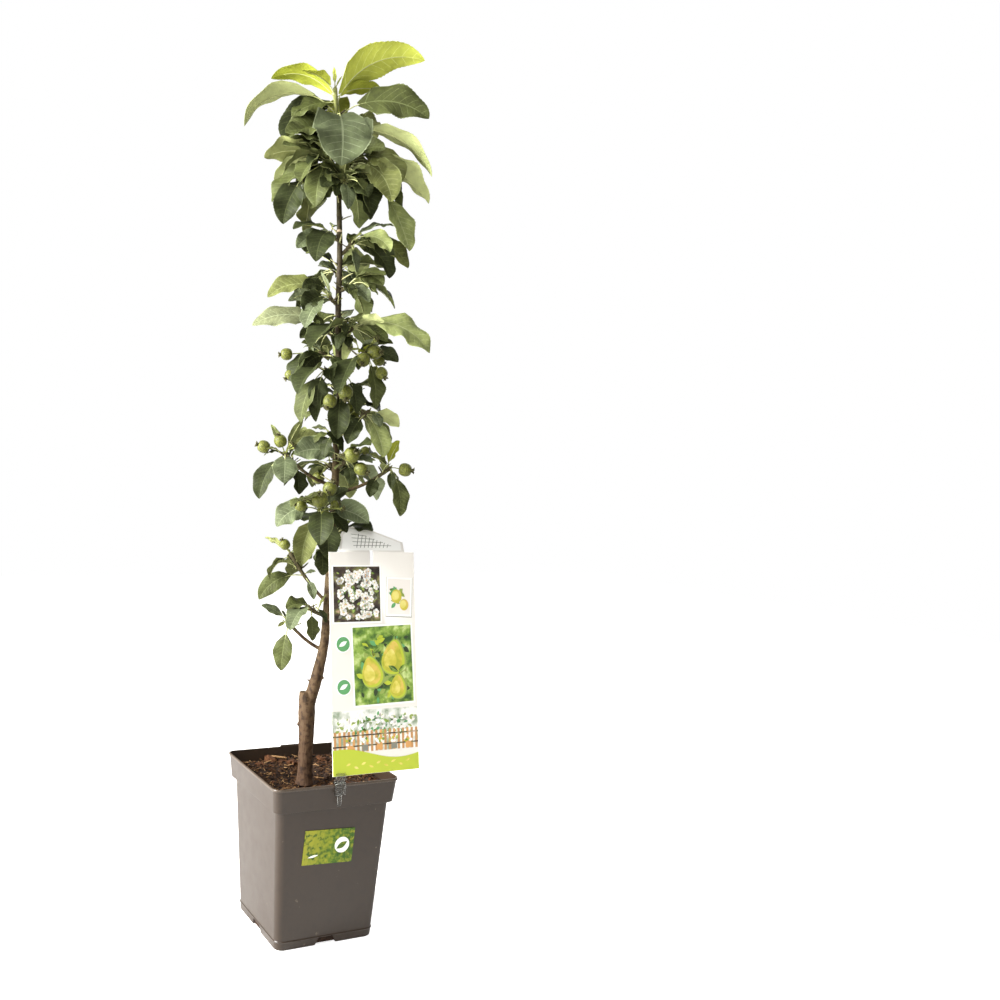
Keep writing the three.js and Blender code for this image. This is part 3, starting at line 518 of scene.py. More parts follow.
def chip(shape, x, y, length, width, turn, lean, roll, swell=1):
    """A torn slab of bark, lying nearly flat."""
    thick = swell * (CHIP_THICK + MORE_THICK * width * roll())
    spin = Matrix.Rotation(turn, 3, "Z") @ Matrix.Rotation(lean, 3, "Y")
    lift = thick * CHIP_LIFT
    centre = Vector((x, y, soil_height(x, y) + lift + abs(math.sin(lean)) * length * LEAN_LIFT))
    rings = []
    for level, share in CHIP_LEVELS:
        ring = []
        for k in range(CHIP_CORNERS):
            around = 2 * math.pi * (k + 0.35 * (roll() - 0.5)) / CHIP_CORNERS
            reach = share * (0.85 + 0.3 * roll())
            along = length / 2 * reach * math.cos(around)
            aside = width / 2 * reach * math.sin(around)
            ring.append(centre + spin @ Vector((along, aside, level * thick)))
        rings.append(ring)
    shape.loft(rings)


def soil_ring(side, corner, height):
    """One level of the peat: the pot's ring, with points along its straight sides too."""
    ring = []
    corners = square_ring(side, corner, height)
    for here, after in zip(corners, corners[1:] + corners[:1]):
        steps = SIDE_STEPS if (after - here).length > side / 3 else 1
        ring += [here.lerp(after, k / steps) for k in range(steps)]
    return ring


BRIM = hollow_side(SOIL_TOP + HEAP) - 2 * GAP


def make_peat():
    """The mass of peat: straight up the pot's hollow, then circles inwards over its rough surface."""
    rings = [
        soil_ring(hollow_side(h) - 2 * GAP, POT_CORNER - POT_WALL - GAP, h)
        for h in (POT_FLOOR + GAP, NECK, NECK + LEDGE_RISE)
    ]
    for k in range(SOIL_CIRCLES):
        side = BRIM * (1 - k / SOIL_CIRCLES)
        ring = soil_ring(side, side * 0.05, 0)
        rings.append([Vector((p.x, p.y, soil_height(p.x, p.y))) for p in ring])
    body = Shape()
    body.loft(rings)
    peat = body.piece("peat", [earthy("peat_brown", "#1f1610", "#3b2b20", 260, 1.6)], 80)
    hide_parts("compost")


def strew(chips, count, length, width, roll):
    """Chips all over the surface."""
    inner = BRIM / 2 - CHIP_MARGIN
    (short, longer), (slim, wider) = CHIP_LENGTHS, CHIP_WIDTHS
    for _ in range(count):
        x, y = inner * (2 * roll() - 1), inner * (2 * roll() - 1)
        long = length * (short + longer * roll() ** 2)
        wide = width * (slim + wider * roll())
        turn = 2 * math.pi * roll()
        chip(chips, x, y, long, wide, turn, CHIP_LEAN * (roll() - 0.5), roll)


def lay_splinters(chips, roll):
    for across, out, lift, long, wide, turn in LONG_CHIPS:
        spot = from_show(across, out, 0)
        start = len(chips.points)
        chip(chips, spot.x, spot.y, long, wide, math.radians(turn - SHOW_TURN), 0.1, roll)
        for point in chips.points[start:]:
            point.z += lift


def heap_lumps(chips, roll):
    for across, out, long, wide in LUMPS:
        spot = from_show(across, out, 0)
        for _ in range(LUMP_CHIPS):
            x, y = spot.x + LUMP_SPREAD * (roll() - 0.5), spot.y + LUMP_SPREAD * (roll() - 0.5)
            turn = math.pi * roll()
            lean = 0.5 * (roll() - 0.5)
            chip(chips, x, y, long * LUMP_SHARE, wide * LUMP_SHARE, turn, lean, roll, LUMP_SWELL)


def make_chips():
    roll = dice(SEED)
    for name, (count, length, width, dark, light) in CHIPS.items():
        chips = Shape()
        strew(chips, count, length, width, roll)
        if name == "chip_red":
            heap_lumps(chips, roll)
        if name == "chip_pale":
            lay_splinters(chips, roll)
        made = chips.piece(name, [earthy(name + "_bark", dark, light, 420, 0.5)], 35)
        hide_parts("compost")


make_peat()
make_chips()


# ------------------------------------------------------------------ trunk and boughs
# The tree is grafted low: a thick tan rootstock ends in an old cut, and the slimmer dark stem leaves it
# to the right and straightens up. Short bare boughs carry some of the spurs. One skin of bark covers
# it all, fissured on the old wood and smooth, with leaf scars, on the young.

# The levels of the stem and of the rootstock, as (height, across, out, girth).
TRUNK = [
    (296, -8.6, 0, 17), (322, -6, 0, 18.5), (346, 0.2, 0, 18), (369, 4.8, 0, 16), (391, 8.8, 0, 14.2),
    (413, 11.3, 0, 12.8), (474, 12.7, 1, 11.7), (580, 14.8, 2, 11.2), (662, 15.1, 1, 10.5),
    (698, 14.4, 0, 9.3), (750, 16.2, -1, 8.8), (812, 11.5, -2, 8.6), (876, 8, -2, 8.5), (951, 6.6, -1, 8),
    (1029, 1.8, 0, 7.4), (1062, 0.3, 0, 6.4), (1092, -2.4, 0, 5.2),
]
STOCK = [
    (SOIL_TOP + GAP, -8.1, 0, 28), (209, -8.1, 0, 23.6), (234, -8.3, 0, 21), (263, -8.8, 0, 21.5),
    (299, -9.6, 0, 24), (319, -10.6, 0, 23), (333, -13.4, 1, 16),
]
# Old pruning cuts, as (height, across, out, rise, girth).
KNOBS = [
    (283, -12, 3, 4, 9), (352, 10, 4, 3, 8), (345, -11, 2, 6, 4), (256, 9, -6, 3, 8), (500, 7, -5, 3, 6),
]
KNOB_TAPER = 3.6
TRUNK_SIDES = 24
TRUNK_STEP = 4
BOUGH_STEPS = 8
BOUGH_GIRTH = 5.6
STEM_GIRTH = 4.4
BOUGH_SAG = 0.1
OLD_BARK_TOP = 430
OLD_BARK_FADE = 150
FISSURE_GRAIN = (0.42, 0.42, 0.055)
FISSURE_DEPTH, MORE_FISSURE = 0.1, 0.22
LUMP_GRAIN = 0.11
LUMP_HEIGHT, MORE_LUMP = 0.12, 0.4
SCAR_STEP = 31
SCAR_HEIGHT = 0.25
SCAR_BREADTH = 5
DOME_GIRTH, DOME_RISE = 0.55, 0.5
PALE_SCAR = 986
PALE_SCAR_HALF = 1.3
BARK_VOXEL = 0.8

Spur = namedtuple("Spur", "name height heart bough more tones leaves fruit")
# Each spur: name, height on the trunk, heart = (across, out, up) of its rosette from the trunk's axis,
# bough = the share of that way that is a bare limb, more = leaves that the rule adds, a letter for the
# tone of each leaf, its leaves and its fruit. Tones: l lit yellow, y young, p pale, b bright grey-green,
# f fresh, m middle, d dark, g grey. A leaf is (where its stalk starts on the spur, across, out, up, bend,
# roll, breadth, share of stalk if unusual); a fruit is (across, out, up, diameter) from the heart.
SPUR_TABLE = [
    ("crown_tip", 1092, (-8.6, 0, 91), 0, 3, "lyypmpgmmdmyyfmd", [
        (0.72, 122, -15, 76, 95, -52, 0.6, 0.14), (0.85, 68, -32, 24, 60, -40, 0.6, 0.2),
        (0.8, -92, -5, 30, 100, 25, 0.6, 0.14), (0.6, -127, 10, -24, 130, 10, 0.55),
        (0.55, 128, 12, 2, 90, 62, 0.95), (0.3, 134, 10, -54, 95, -20, 0.5),
        (0.6, 10, 52, -84, 115, 0, 1.5, 0.22), (0.78, -60, 15, -26, 60, -50, 1.05, 0.14),
        (0.12, -73, 28, 8, 70, -60, 1.15), (0.62, -68, -16, -38, 150, -75, 0.75, 0.16),
        (0.35, -68, 24, -18, 85, -60, 1.1, 0.14), (1, -3, 6, 27, 12, 0, 0.5), (1, 9, -4, 19, 15, 0, 0.5),
        (0.45, 60, -72, 8, 90, 0, 0.95), (0.25, 5, -95, -8, 95, 0, 0.95), (0.5, -45, -80, 0, 90, 0, 0.9),
    ], []),
    ("crown_left", 1070, (-19, 2, 12), 0, 3, "fpmdmfm", [
        (1, -85, 15, -4, 70, 30, 0.95), (1, -72, -18, -26, 60, 40, 0.9), (0.9, -74, 5, -60, 60, -45, 1),
        (0.85, -57, 28, -94, 65, -50, 1.05, 0.47), (0.8, -14, 38, -70, 85, 0, 1),
        (0.9, -27, -22, -96, 50, 0, 1.2, 0.5), (1, -60, 32, 12, 85, -60, 0.9),
    ], []),
    ("crown_right", 1066, (15, -4, 15), 0, 3, "ffdpmpddm", [
        (1, 67, 30, -35, 130, 50, 1), (1, 58, 46, -62, 90, 50, 0.95), (0.9, 76, -24, -29, 100, 50, 0.9),
        (1, 113, 0, -50, 75, -30, 0.85), (0.8, 82, -16, -66, 80, 60, 0.6),
        (0.9, 90, 12, -118, 55, 40, 0.95, 0.5), (0.7, 35, 32, -70, 80, 20, 1),
        (0.6, 24, -30, -75, 70, 0, 1), (0.9, 48, 34, 14, 95, 60, 0.9),
    ], []),
    ("crown_front", 1040, (6, 17, 10), 0, 3, "mdgmmf", [
        (1, -43, 22, -42, 70, -50, 1.15), (1, 38, 24, -52, 80, 45, 1.1), (0.9, 8, 34, -44, 95, 0, 0.8),
        (0.9, -32, 30, 14, 80, -40, 0.9), (0.9, 28, 34, 12, 80, 40, 0.9), (0.9, 2, 30, 26, 70, 10, 0.8),
    ], []),
    ("crown_back", 1074, (-2, -18, 9), 0, 9, "", [], []),
    ("upper_left", 972, (-13, 6, 9), 0, 3, "dgg", [
        (1, -33, 12, -30, 115, -60, 1.15), (1, -46, 18, -26, 60, -65, 0.95),
        (0.9, -12, 26, -28, 80, -20, 0.9),
    ], []),
    ("upper_right", 952, (18, -2, 22), 0, 3, "fpdgdf", [
        (1, 80, -12, -32, 95, 50, 0.85), (1, 52, 15, -16, 110, 60, 0.85), (0.9, 55, 5, -48, 90, 60, 1),
        (0.8, 10, 20, -42, 60, 0, 0.6), (1, 36, -26, -12, 70, -60, 1.1), (0.8, 14, 26, 10, 60, 30, 0.8),
    ], []),
    ("upper_back", 925, (-4, -22, 10), 0, 7, "", [], []),
    ("middle_right", 902, (14, 6, 9), 0, 3, "mggm", [
        (1, 47, 20, -2, 120, 60, 0.95), (1, 48, -10, 6, 75, -60, 1.1), (0.9, 30, 20, -24, 60, 50, 0.9),
        (0.9, 8, 30, -22, 70, 0, 0.8),
    ], []),
    ("middle_left", 884, (-13, 8, 9), 0, 2, "fdgdg", [
        (1, -86, 8, -6, 100, -45, 0.8), (1, -38, 16, 8, 115, -60, 0.95), (1, -58, -10, -7, 60, 50, 0.7),
        (1, -34, 28, -26, 75, -60, 1.2), (0.8, -16, 8, 36, 25, 20, 0.5),
    ], []),
    ("long_left", 836, (-15, 7, 9), 0, 2, "bmdgd", [
        (1, -106, 10, 2, 85, -45, 0.8), (1, -28, 10, 18, 60, -60, 0.8), (0.9, -40, 16, -12, 80, -65, 0.95),
        (0.9, -8, 42, -10, 90, 0, 0.9), (0.9, 14, 22, -28, 80, 20, 0.9),
    ], []),
    ("long_right", 840, (19, 6, 11), 0, 2, "ppddm", [
        (1, 109, 12, -31, 95, 50, 0.85), (1, 44, 15, 9, 70, -60, 0.8), (0.9, -8, 36, -10, 90, 0, 0.9),
        (0.9, -18, 28, -32, 80, 0, 0.8), (0.9, 52, 8, -16, 80, 60, 0.8),
    ], []),
    ("middle_back", 858, (4, -23, 10), 0, 7, "", [], []),
    ("right_cluster", 802, (37, 6, 17), 0.5, 2, "dmm", [
        (1, 46, 8, -13, 65, 60, 0.95), (0.9, 20, 8, -76, 55, 30, 0.75), (1, 38, 2, 13, 85, 50, 0.85),
    ], [(12, 10, -1, 21), (-3, 16, -13, 20), (20, -9, -10, 17), (14, -8, -27, 17), (23, 14, -30, 18)]),
    ("left_cluster", 811, (-27, 4, 4), 0, 2, "dmmd", [
        (0.42, -38, 30, -28, 85, -65, 1.1), (1, -26, 6, 12, 90, -60, 0.85),
        (0.9, -20, -20, -18, 60, 0, 0.8), (0.7, 26, 30, -30, 85, 20, 0.9),
    ], [(-46, 6, -5, 18), (-39, 10, -34, 17), (-30, -6, -19, 12)]),
    ("front_fruit", 760, (6, 18, 25), 0, 2, "dd", [
        (1, 18, 8, -54, 60, 30, 1.05), (0.3, -2, 26, -72, 60, 0, 0.9),
    ], [(2, 14, -26, 22), (-19, 12, -39, 20), (8, 1, -46, 15)]),
    ("left_drop", 766, (-21, 9, 26), 0.4, 2, "ddm", [
        (1, -7, 18, -56, 65, -40, 1.1), (0.8, -14, 6, -68, 50, -20, 0.7), (1, -31, 8, -77, 55, -40, 0.85),
    ], []),
    ("high_back", 738, (8, -26, 12), 0, 7, "", [], [(14, -16, -20, 18)]),
    ("centre_front", 694, (-4, 17, 8), 0, 2, "dm", [
        (1, -12, 12, -34, 70, -20, 1), (1, 4, 24, 12, 80, 10, 0.8),
    ], []),
    ("right_drop", 710, (43, 6, 26), 0.6, 2, "gppdp", [
        (1, 16, 14, -22, 75, 30, 1.1), (1, 24, 4, -36, 30, 40, 0.5), (1, 44, -8, -20, 55, -50, 1),
        (0.9, -24, 28, -44, 45, -30, 1), (0.9, 27, 14, -60, 50, 30, 1.05),
    ], []),
    ("centre_fruit", 654, (13, 13, 11), 0, 3, "gddf", [
        (1, -72, 22, 5, 75, -60, 1.15), (1, -29, 12, 36, 60, -60, 1), (1, 9, 14, -34, 60, 30, 1),
        (0.9, 43, 14, 4, 35, 50, 0.4),
    ], [(8, 15, 8, 24), (22, 10, -11, 20), (27, -7, 15, 13)]),
    ("left_spur", 628, (-72, 12, 42), 0.6, 2, "pmfgdd", [
        (1, -22, -4, 41, 20, -60, 0.5), (1, 23, 0, 50, 20, -60, 0.55), (1, 48, -6, 26, 95, 60, 0.75),
        (1, 2, 34, -40, 85, 0, 1.4), (1, -33, 8, -64, 60, -50, 0.9), (0.8, 8, 16, -42, 60, -20, 1.2),
    ], [(-7, 6, 18, 19), (-30, 4, 9, 19)]),
    ("right_spur", 620, (77, 0, 38), 0.7, 2, "ddmy", [
        (0.8, -12, 18, -30, 60, -50, 1.1), (1, 2, 14, -30, 50, 20, 0.8), (1, 17, 6, -68, 45, 50, 0.8),
        (0.95, 16, -8, 42, 45, -60, 1.1),
    ], [(21, 4, -2, 20)]),
    ("centre_back", 646, (-8, -28, 14), 0, 8, "", [], [(-16, -14, -22, 19)]),
    ("low_fruit", 590, (-19, 24, 4), 0, 2, "dgdgfd", [
        (0.8, 34, -2, 34, 60, 50, 1), (1, 68, 12, -14, 65, 60, 1), (0.9, 37, -2, -28, 60, 50, 1),
        (1, -59, 8, -25, 95, -60, 1.2), (1, -22, 22, -76, 50, -40, 0.9), (1, 14, 18, -66, 50, 30, 1.1),
    ], [(12, 6, 31, 21), (-1, 20, 16, 24), (7, 18, -8, 20), (-27, 12, 6, 17), (20, 5, 9, 14)]),
    ("low_front", 540, (-13, 9, 9), 0, 4, "d", [(1, 3, 22, -45, 65, -30, 1.3)], []),
    ("low_back", 548, (8, -24, 14), 0, 7, "", [], []),
    ("lower_left", 462, (-56, 6, 69), 0.35, 0, "mggf", [
        (0.62, -62, 8, -36, 80, -60, 0.8), (0.6, 14, 14, -30, 50, 40, 0.8), (0.64, 17, 4, 6, 50, 40, 0.8),
        (1, -37, -4, 20, 40, 50, 0.6),
    ], [(-8, 4, 12, 16)]),
    ("lower_rosette", 444, (-28, 14, 14), 0, 1, "dmmf", [
        (1, -26, 6, -10, 100, -60, 1.1), (1, -26, 12, -31, 60, -60, 1), (0.8, 4, 16, -42, 50, -20, 1.05),
        (0.5, 12, 6, 28, 25, 40, 0.6),
    ], []),
    ("lowest_left", 394, (-52, 6, 40), 0.75, 0, "gfmg", [
        (1, -38, 6, 22, 40, -60, 0.7), (1, -13, 10, -7, 30, -40, 0.7), (0.95, -8, 12, -66, 35, -15, 0.95),
        (1, -9, 8, 16, 20, -60, 0.6),
    ], []),
]
SPURS = [Spur(*row) for row in SPUR_TABLE]
MASSES = [spur.name for spur in SPURS]


def on_trunk(height):
    """The middle of the trunk at a height."""
    stations = STOCK if height < TRUNK[1][0] else TRUNK
    i = next((k for k in range(1, len(stations)) if stations[k][0] >= height), len(stations) - 1)
    low, high = stations[i - 1], stations[i]
    t = (height - low[0]) / (high[0] - low[0])
    return from_show(low[1] + (high[1] - low[1]) * t, low[2] + (high[2] - low[2]) * t, height)


def spur_point(spur, t):
    """A place on the way from the trunk to a spur's heart, which leaves flatter and turns up."""
    root = on_trunk(spur.height)
    way = from_show(*spur.heart)
    sag = BOUGH_SAG * math.hypot(way.x, way.y) * 4 * t * (1 - t)
    return root + way * t - UP * sag


def curve(stations, step):
    """Stations of numbers, passed through smoothly at about so many millimetres."""
    rows = [Vector(s) for s in stations]
    rows = [rows[0] * 2 - rows[1]] + rows + [rows[-1] * 2 - rows[-2]]
    result = []
    for a, b, c, d in zip(rows, rows[1:], rows[2:], rows[3:]):
        count = max(1, round((c - b).length / step))
        for k in range(count):
            t = k / count
            bend = a * (-t + 2 * t * t - t**3) + b * (2 - 5 * t * t + 3 * t**3)
            result.append((bend + c * (t + 4 * t * t - 3 * t**3) + d * (t**3 - t * t)) / 2)
    return result + [rows[-2]]


def tube(shape, points, radii, sides, slot=0):
    """A round limb through points, with domed ends."""
    side = None
    rings = []
    for i, point in enumerate(points):
        along = (points[min(i + 1, len(points) - 1)] - points[max(i - 1, 0)]).normalized()
        if side is None:
            side = along.orthogonal().normalized()
        side = (side - along * side.dot(along)).normalized()
        other = along.cross(side)
        ring = []
        for k in range(sides):
            turn = 2 * math.pi * k / sides
            ring.append(point + (side * math.cos(turn) + other * math.sin(turn)) * radii[i])
        rings.append(ring)
    domes = []
    for ring, middle, near in ((rings[0], points[0], points[1]), (rings[-1], points[-1], points[-2])):
        out = (middle - near).normalized() * (ring[0] - middle).length * DOME_RISE
        domes.append([middle + (p - middle) * DOME_GIRTH + out for p in ring])
    shape.loft([domes[0]] + rings + [domes[1]], slot)


def upright(shape, stations):
    """An upright limb whose rings lie level."""
    turns = [2 * math.pi * k / TRUNK_SIDES for k in range(TRUNK_SIDES)]
    rings = []
    for height, across, out, girth in curve(stations, TRUNK_STEP):
        middle = from_show(across, out, height)
        rings.append([middle + Vector((math.cos(t), math.sin(t), 0)) * girth / 2 for t in turns])
    shape.loft(rings)


def bark_relief(point):
    """How far the bark stands out at a place: fissured and lumpy low down, ringed by scars higher up."""
    old = max(0.0, min(1.0, (OLD_BARK_TOP - point.z) / OLD_BARK_FADE))
    fissure = noise.fractal(Vector([p * g for p, g in zip(point, FISSURE_GRAIN)]), 1, 2, 4)
    lump = noise.noise(point * LUMP_GRAIN)
    scar = math.exp(-(((point.z % SCAR_STEP) - SCAR_STEP / 2) ** 2) / SCAR_BREADTH)
    rough = (FISSURE_DEPTH + MORE_FISSURE * old) * fissure + (LUMP_HEIGHT + MORE_LUMP * old) * lump
    return rough + SCAR_HEIGHT * (1 - old) * scar


def bark():
    """Tan, flaking bark low down, olive brown and smooth higher up."""
    made = material("bark_skin", "#5b4a3c", 0.75, Specular_IOR_Level=0.22)
    place = add_node(made, "TexCoord", {}).outputs["Object"]
    height = add_node(made, "SeparateXYZ", {"Vector": place}).outputs["Z"]
    rise = add_node(made, "MapRange", {"Value": height, "From Min": 0.2, "From Max": 1.1}).outputs[0]
    base = ramp(made, rise, [
        (0, "#443122"), (0.1, "#4b3a28"), (0.3, "#544631"),
        (0.5, "#4a3f28"), (0.8, "#373020"), (1, "#46442a"),
    ])
    flakes = [(0.36, "#7c6c5b"), (0.45, "#cdbfae"), (0.55, "#fffaf2"), (0.7, "#ffffff")]
    patches = ramp(made, grain(made, 160, 10, (1, 1, 0.9)), flakes)
    layers = {"Factor": 0.85, "A": base, "B": patches}
    mixed = add_node(made, "Mix", layers, data_type="RGBA", blend_type="MULTIPLY")
    feed(made, "Base Color", mixed.outputs["Result"])
    feed(made, "Roughness", spread(made, grain(made, 90, 3), 0.6, 0.9))
    relief(made, grain(made, 600, 6, (1, 1, 1.6)), 0.6)
    return made


def read_vectors(items, what):
    """One vector of each item of a mesh, such as its place, read all at once."""
    values = np.zeros(len(items) * 3, np.float32)
    items.foreach_get(what, values)
    return values.reshape(-1, 3)


def raw_wood():
    """Stem, rootstock, old cuts and boughs, each a limb of its own that runs into the next."""
    wood = Shape()
    upright(wood, TRUNK)
    upright(wood, STOCK)
    for height, across, out, rise, girth in KNOBS:
        core = on_trunk(height)
        tube(wood, [core, core + from_show(across, out, rise)], [girth / 2, girth / KNOB_TAPER], 12)
    shares = [k / BOUGH_STEPS for k in range(BOUGH_STEPS + 1)]
    radii = [(BOUGH_GIRTH + (STEM_GIRTH - BOUGH_GIRTH) * share) / 2 for share in shares]
    for spur in SPURS:
        if spur.bough > 0:
            tube(wood, [spur_point(spur, spur.bough * share) for share in shares], radii, 14)
    return wood


def grow_together(trunk):
    """Makes one skin of all the limbs."""
    skin = trunk.modifiers.new("skin", "REMESH")
    skin.mode = "VOXEL"
    skin.voxel_size = BARK_VOXEL * MM
    skin.use_smooth_shade = True
    smooth = trunk.modifiers.new("smooth", "SMOOTH")
    smooth.iterations = 3
    settle(trunk)


def make_trunk():
    scar = earthy("leaf_scar", "#978570", "#b3a188", 400, 0.2)
    trunk = raw_wood().piece("trunk_and_boughs", [bark(), scar], 180)
    grow_together(trunk)
    mesh = trunk.data
    spots, normals = (read_vectors(mesh.vertices, what) for what in ("co", "normal"))
    foot = SOIL_TOP + GAP
    for vertex, place, normal in zip(mesh.vertices, spots, normals):
        spot = Vector(place) / MM
        spot = spot + Vector(normal) * bark_relief(spot)
        vertex.co = (spot.x * MM, spot.y * MM, max(spot.z, foot) * MM)
    for face in mesh.polygons:
        face.material_index = 1 if abs(face.center.z / MM - PALE_SCAR) < PALE_SCAR_HALF else 0
    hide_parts("trunk", *[f"bough_{spur.name}" for spur in SPURS if spur.bough > 0])


make_trunk()


# ------------------------------------------------------------------ stems, twigs and buds
# Each spur is a stub of old wood, ringed where buds have set year on year, that ends in the heart of a
# rosette. Thinner twigs of this year leave it, each with a bud at its end; some carry a small leaf.

STEM_STEPS = 14
HEART_GIRTH = 6.4
RING_HEIGHT = 0.35
TWIG_GIRTH = 2.8
TWIG_RISE = 7
TWIG_ROOT = 0.6
TWIG_BEARING, MORE_BEARING = 70, 220
TWIG_REACH, MORE_REACH = 9, 5
TWIG_SAG = 0.08
FINE_GIRTH = 1.7
BUD_LENGTH = 5
TWIG_BUD_LENGTH = 3.4
# A bud's levels: the share of its length, and the radius there as a share of its length.
BUD_LEVELS = ((0, 0.18), (0.25, 0.27), (0.55, 0.24), (0.85, 0.1), (1, 0.03))
NODES = 28
NODE_FOOT = 560
NODE_STEP = 17
NODE_TURN = 137
DROPPED_RADII = (1.1, 0.8, 0.6)
DROPPED_REACH, MORE_DROPPED = 8, 13


def make_bud(shape, root, way, length, slot):
    """A plump pointed bud."""
    way = way.normalized()
    points = [root + way * length * share for share, _ in BUD_LEVELS]
    tube(shape, points, [length * radius for _, radius in BUD_LEVELS], 8, slot)


def side_twig(spur, roll):
    """Root and tip of the short side twig on a spur's stem."""
    root = spur_point(spur, spur.bough + (1 - spur.bough) * TWIG_ROOT)
    across, out, _ = spur.heart
    bearing = math.atan2(out, across) + math.radians(TWIG_BEARING + MORE_BEARING * roll())
    reach = TWIG_REACH + MORE_REACH * roll()
    return root, root + from_show(reach * math.cos(bearing), reach * math.sin(bearing), TWIG_RISE)


def stem_radius(share):
    """The stem thickens towards its heart and is ringed by old bud scars."""
    ringed = RING_HEIGHT * abs(math.sin(share * math.pi * 4))
    return (STEM_GIRTH + (HEART_GIRTH - STEM_GIRTH) * share) / 2 - 0.2 + ringed


twigs = Shape()
OLD_WOOD, YOUNG_WOOD, DROPPED = range(3)


def make_stem(spur):
    start = spur.bough
    shares = [k / STEM_STEPS for k in range(STEM_STEPS + 1)]
    points = [spur_point(spur, start + (1 - start) * k / STEM_STEPS) for k in range(STEM_STEPS + 1)]
    wood = YOUNG_WOOD if spur.name == "crown_tip" else OLD_WOOD
    tube(twigs, points, [stem_radius(share) for share in shares], 12, wood)
    make_bud(twigs, points[-1], points[-1] - points[-3] + UP, BUD_LENGTH, YOUNG_WOOD)


def make_twig(root, tip, girth, slot):
    middle = (root + tip) / 2 - UP * (tip - root).length * TWIG_SAG
    tube(twigs, [root, middle, tip], [girth / 2, girth / 2.2, girth / 2.6], 8, slot)
    make_bud(twigs, tip, tip - middle, TWIG_BUD_LENGTH, YOUNG_WOOD)


def make_nodes():
    """Leaf scars of last year's shoot, each with its bud and the stalk of a leaf that has dropped."""
    roll = dice(SEED + 71)
    for k in range(NODES):
        bearing = math.radians(NODE_TURN * k + 30 * roll())
        way = from_show(math.cos(bearing), math.sin(bearing), 0)
        root = on_trunk(NODE_FOOT + NODE_STEP * (k + 0.5 * roll())) + way * 3
        make_bud(twigs, root, way + UP, BUD_LENGTH, OLD_WOOD)
        reach = DROPPED_REACH + MORE_DROPPED * roll()
        stalk = [root - UP * 2, root + way * reach * 0.6 + UP * 4, root + way * reach + UP * 7]
        tube(twigs, stalk, DROPPED_RADII, 6, DROPPED)


rule_dice = {}
for number, each in enumerate(SPURS):
    rule_dice[each.name] = dice(SEED + 101 * (number + 1))
    make_stem(each)
    make_twig(*side_twig(each, rule_dice[each.name]), TWIG_GIRTH, OLD_WOOD)
make_nodes()


# ------------------------------------------------------------------ leaf blades
# Each leaf is a thin folded blade on its stalk, arched over along its length: oval with a short point,
# toothed and a little wavy at its edge, quilted between its side veins, and paler beneath. Young leaves
# at the top are yellow-green, grown ones grey-green to dark.

PETIOLE_SHARE = 0.27
PETIOLE_GIRTH = 1.6
BLADE_WIDTH = 0.6
BLADE_THICKNESS = 0.3
LEAST_WIDTH = 0.012
HEART_SHAPED = 1.3
HEART_LOBE = 0.1
LOBE = 0.035
LOBE_WIDTH = 5
LOBE_FADE = 9
FOLD, MORE_FOLD = 0.3, 0.35
FOLD_DROP = 0.3
CURL, MORE_CURL = 0.1, 0.3
WAVE, MORE_WAVE = 0.09, 0.17
WAVES = 2.3
SWING = 36
TOOTH = 0.022
QUILT = 0.55
VEINS = 8
VEIN_HALF = 0.004
VEIN_SWEEP = 0.36
MIDRIB = 0.035
MARGIN = 0.955
COLUMNS = (-1, -MARGIN, -0.73, -0.4, -MIDRIB, MIDRIB, 0.4, 0.73, MARGIN, 1)
RIB_STEPS = 12
RIB_END = 0.8
RIB_RAISED = 0.25
# Each tone: the colours of the upper side, the veins and the underside.
TONES = {
    "l": ("#a3ac38", "#bcc268", "#a6ac48"),
    "y": ("#757b1d", "#979c38", "#8c9232"),
    "p": ("#7f8752", "#989f6e", "#9aa06b"),
    "b": ("#6b6f50", "#868c69", "#8a8f6d"),
    "f": ("#5d6135", "#787d4f", "#7b7f4e"),
    "m": ("#404523", "#5b613b", "#666b41"),
    "d": ("#292e16", "#414729", "#525831"),
    "g": ("#4e553b", "#6e7558", "#6f7658"),
}
STALK_GREEN = "#a2a56c"
UPPER, VEIN, UNDER, PETIOLE = range(4)


def toned(colour, strength):
    """The colour made darker or lighter."""
    parts = [min(255, round(int(colour[k : k + 2], 16) * strength)) for k in (1, 3, 5)]
    return "#" + "".join(f"{part:02x}" for part in parts)


def mottle(made, colour, scale, depth):
    """The colour, a little darker and lighter in soft patches."""
    stops = [(0.34, toned(colour, 1 - depth)), (0.5, colour), (0.66, toned(colour, 1 + depth))]
    feed(made, "Base Color", ramp(made, grain(made, scale, 5), stops))


def leaf_arc(root, tip, bend):
    """The arc of a leaf from its root to its tip, bending over evenly in an upright plane."""
    flat = Vector((tip.x, tip.y, 0)).normalized()
    turn = math.radians(bend)
    start = math.atan2(tip.z, math.hypot(tip.x, tip.y)) + turn / 2
    radius = tip.length / 2 / math.sin(turn / 2)

    def at(f):
        slope = start - turn * f
        c, s = math.cos(slope), math.sin(slope)
        point = root + flat * (radius * (math.sin(start) - s)) + UP * (radius * (c - math.cos(start)))
        return point, flat * c + UP * s, UP * c - flat * s

    return at, radius * turn


def blade_rows():
    """Rows across the blade, as (place along it, how far it is raised, is it the start of a vein)."""
    rows = [(0, 0, False)]
    places = [0.07 + 0.8 * k / (VEINS - 1) for k in range(VEINS)]
    for k, place in enumerate(places):
        rows += [(place - VEIN_HALF, -1, True), (place + VEIN_HALF, -1, False)]
        after = places[k + 1] if k + 1 < VEINS else 0.98
        rows.append(((place + after) / 2, 1, False))
    return rows + [(0.965, 0, False), (1, 0, False)]


ROWS = blade_rows()


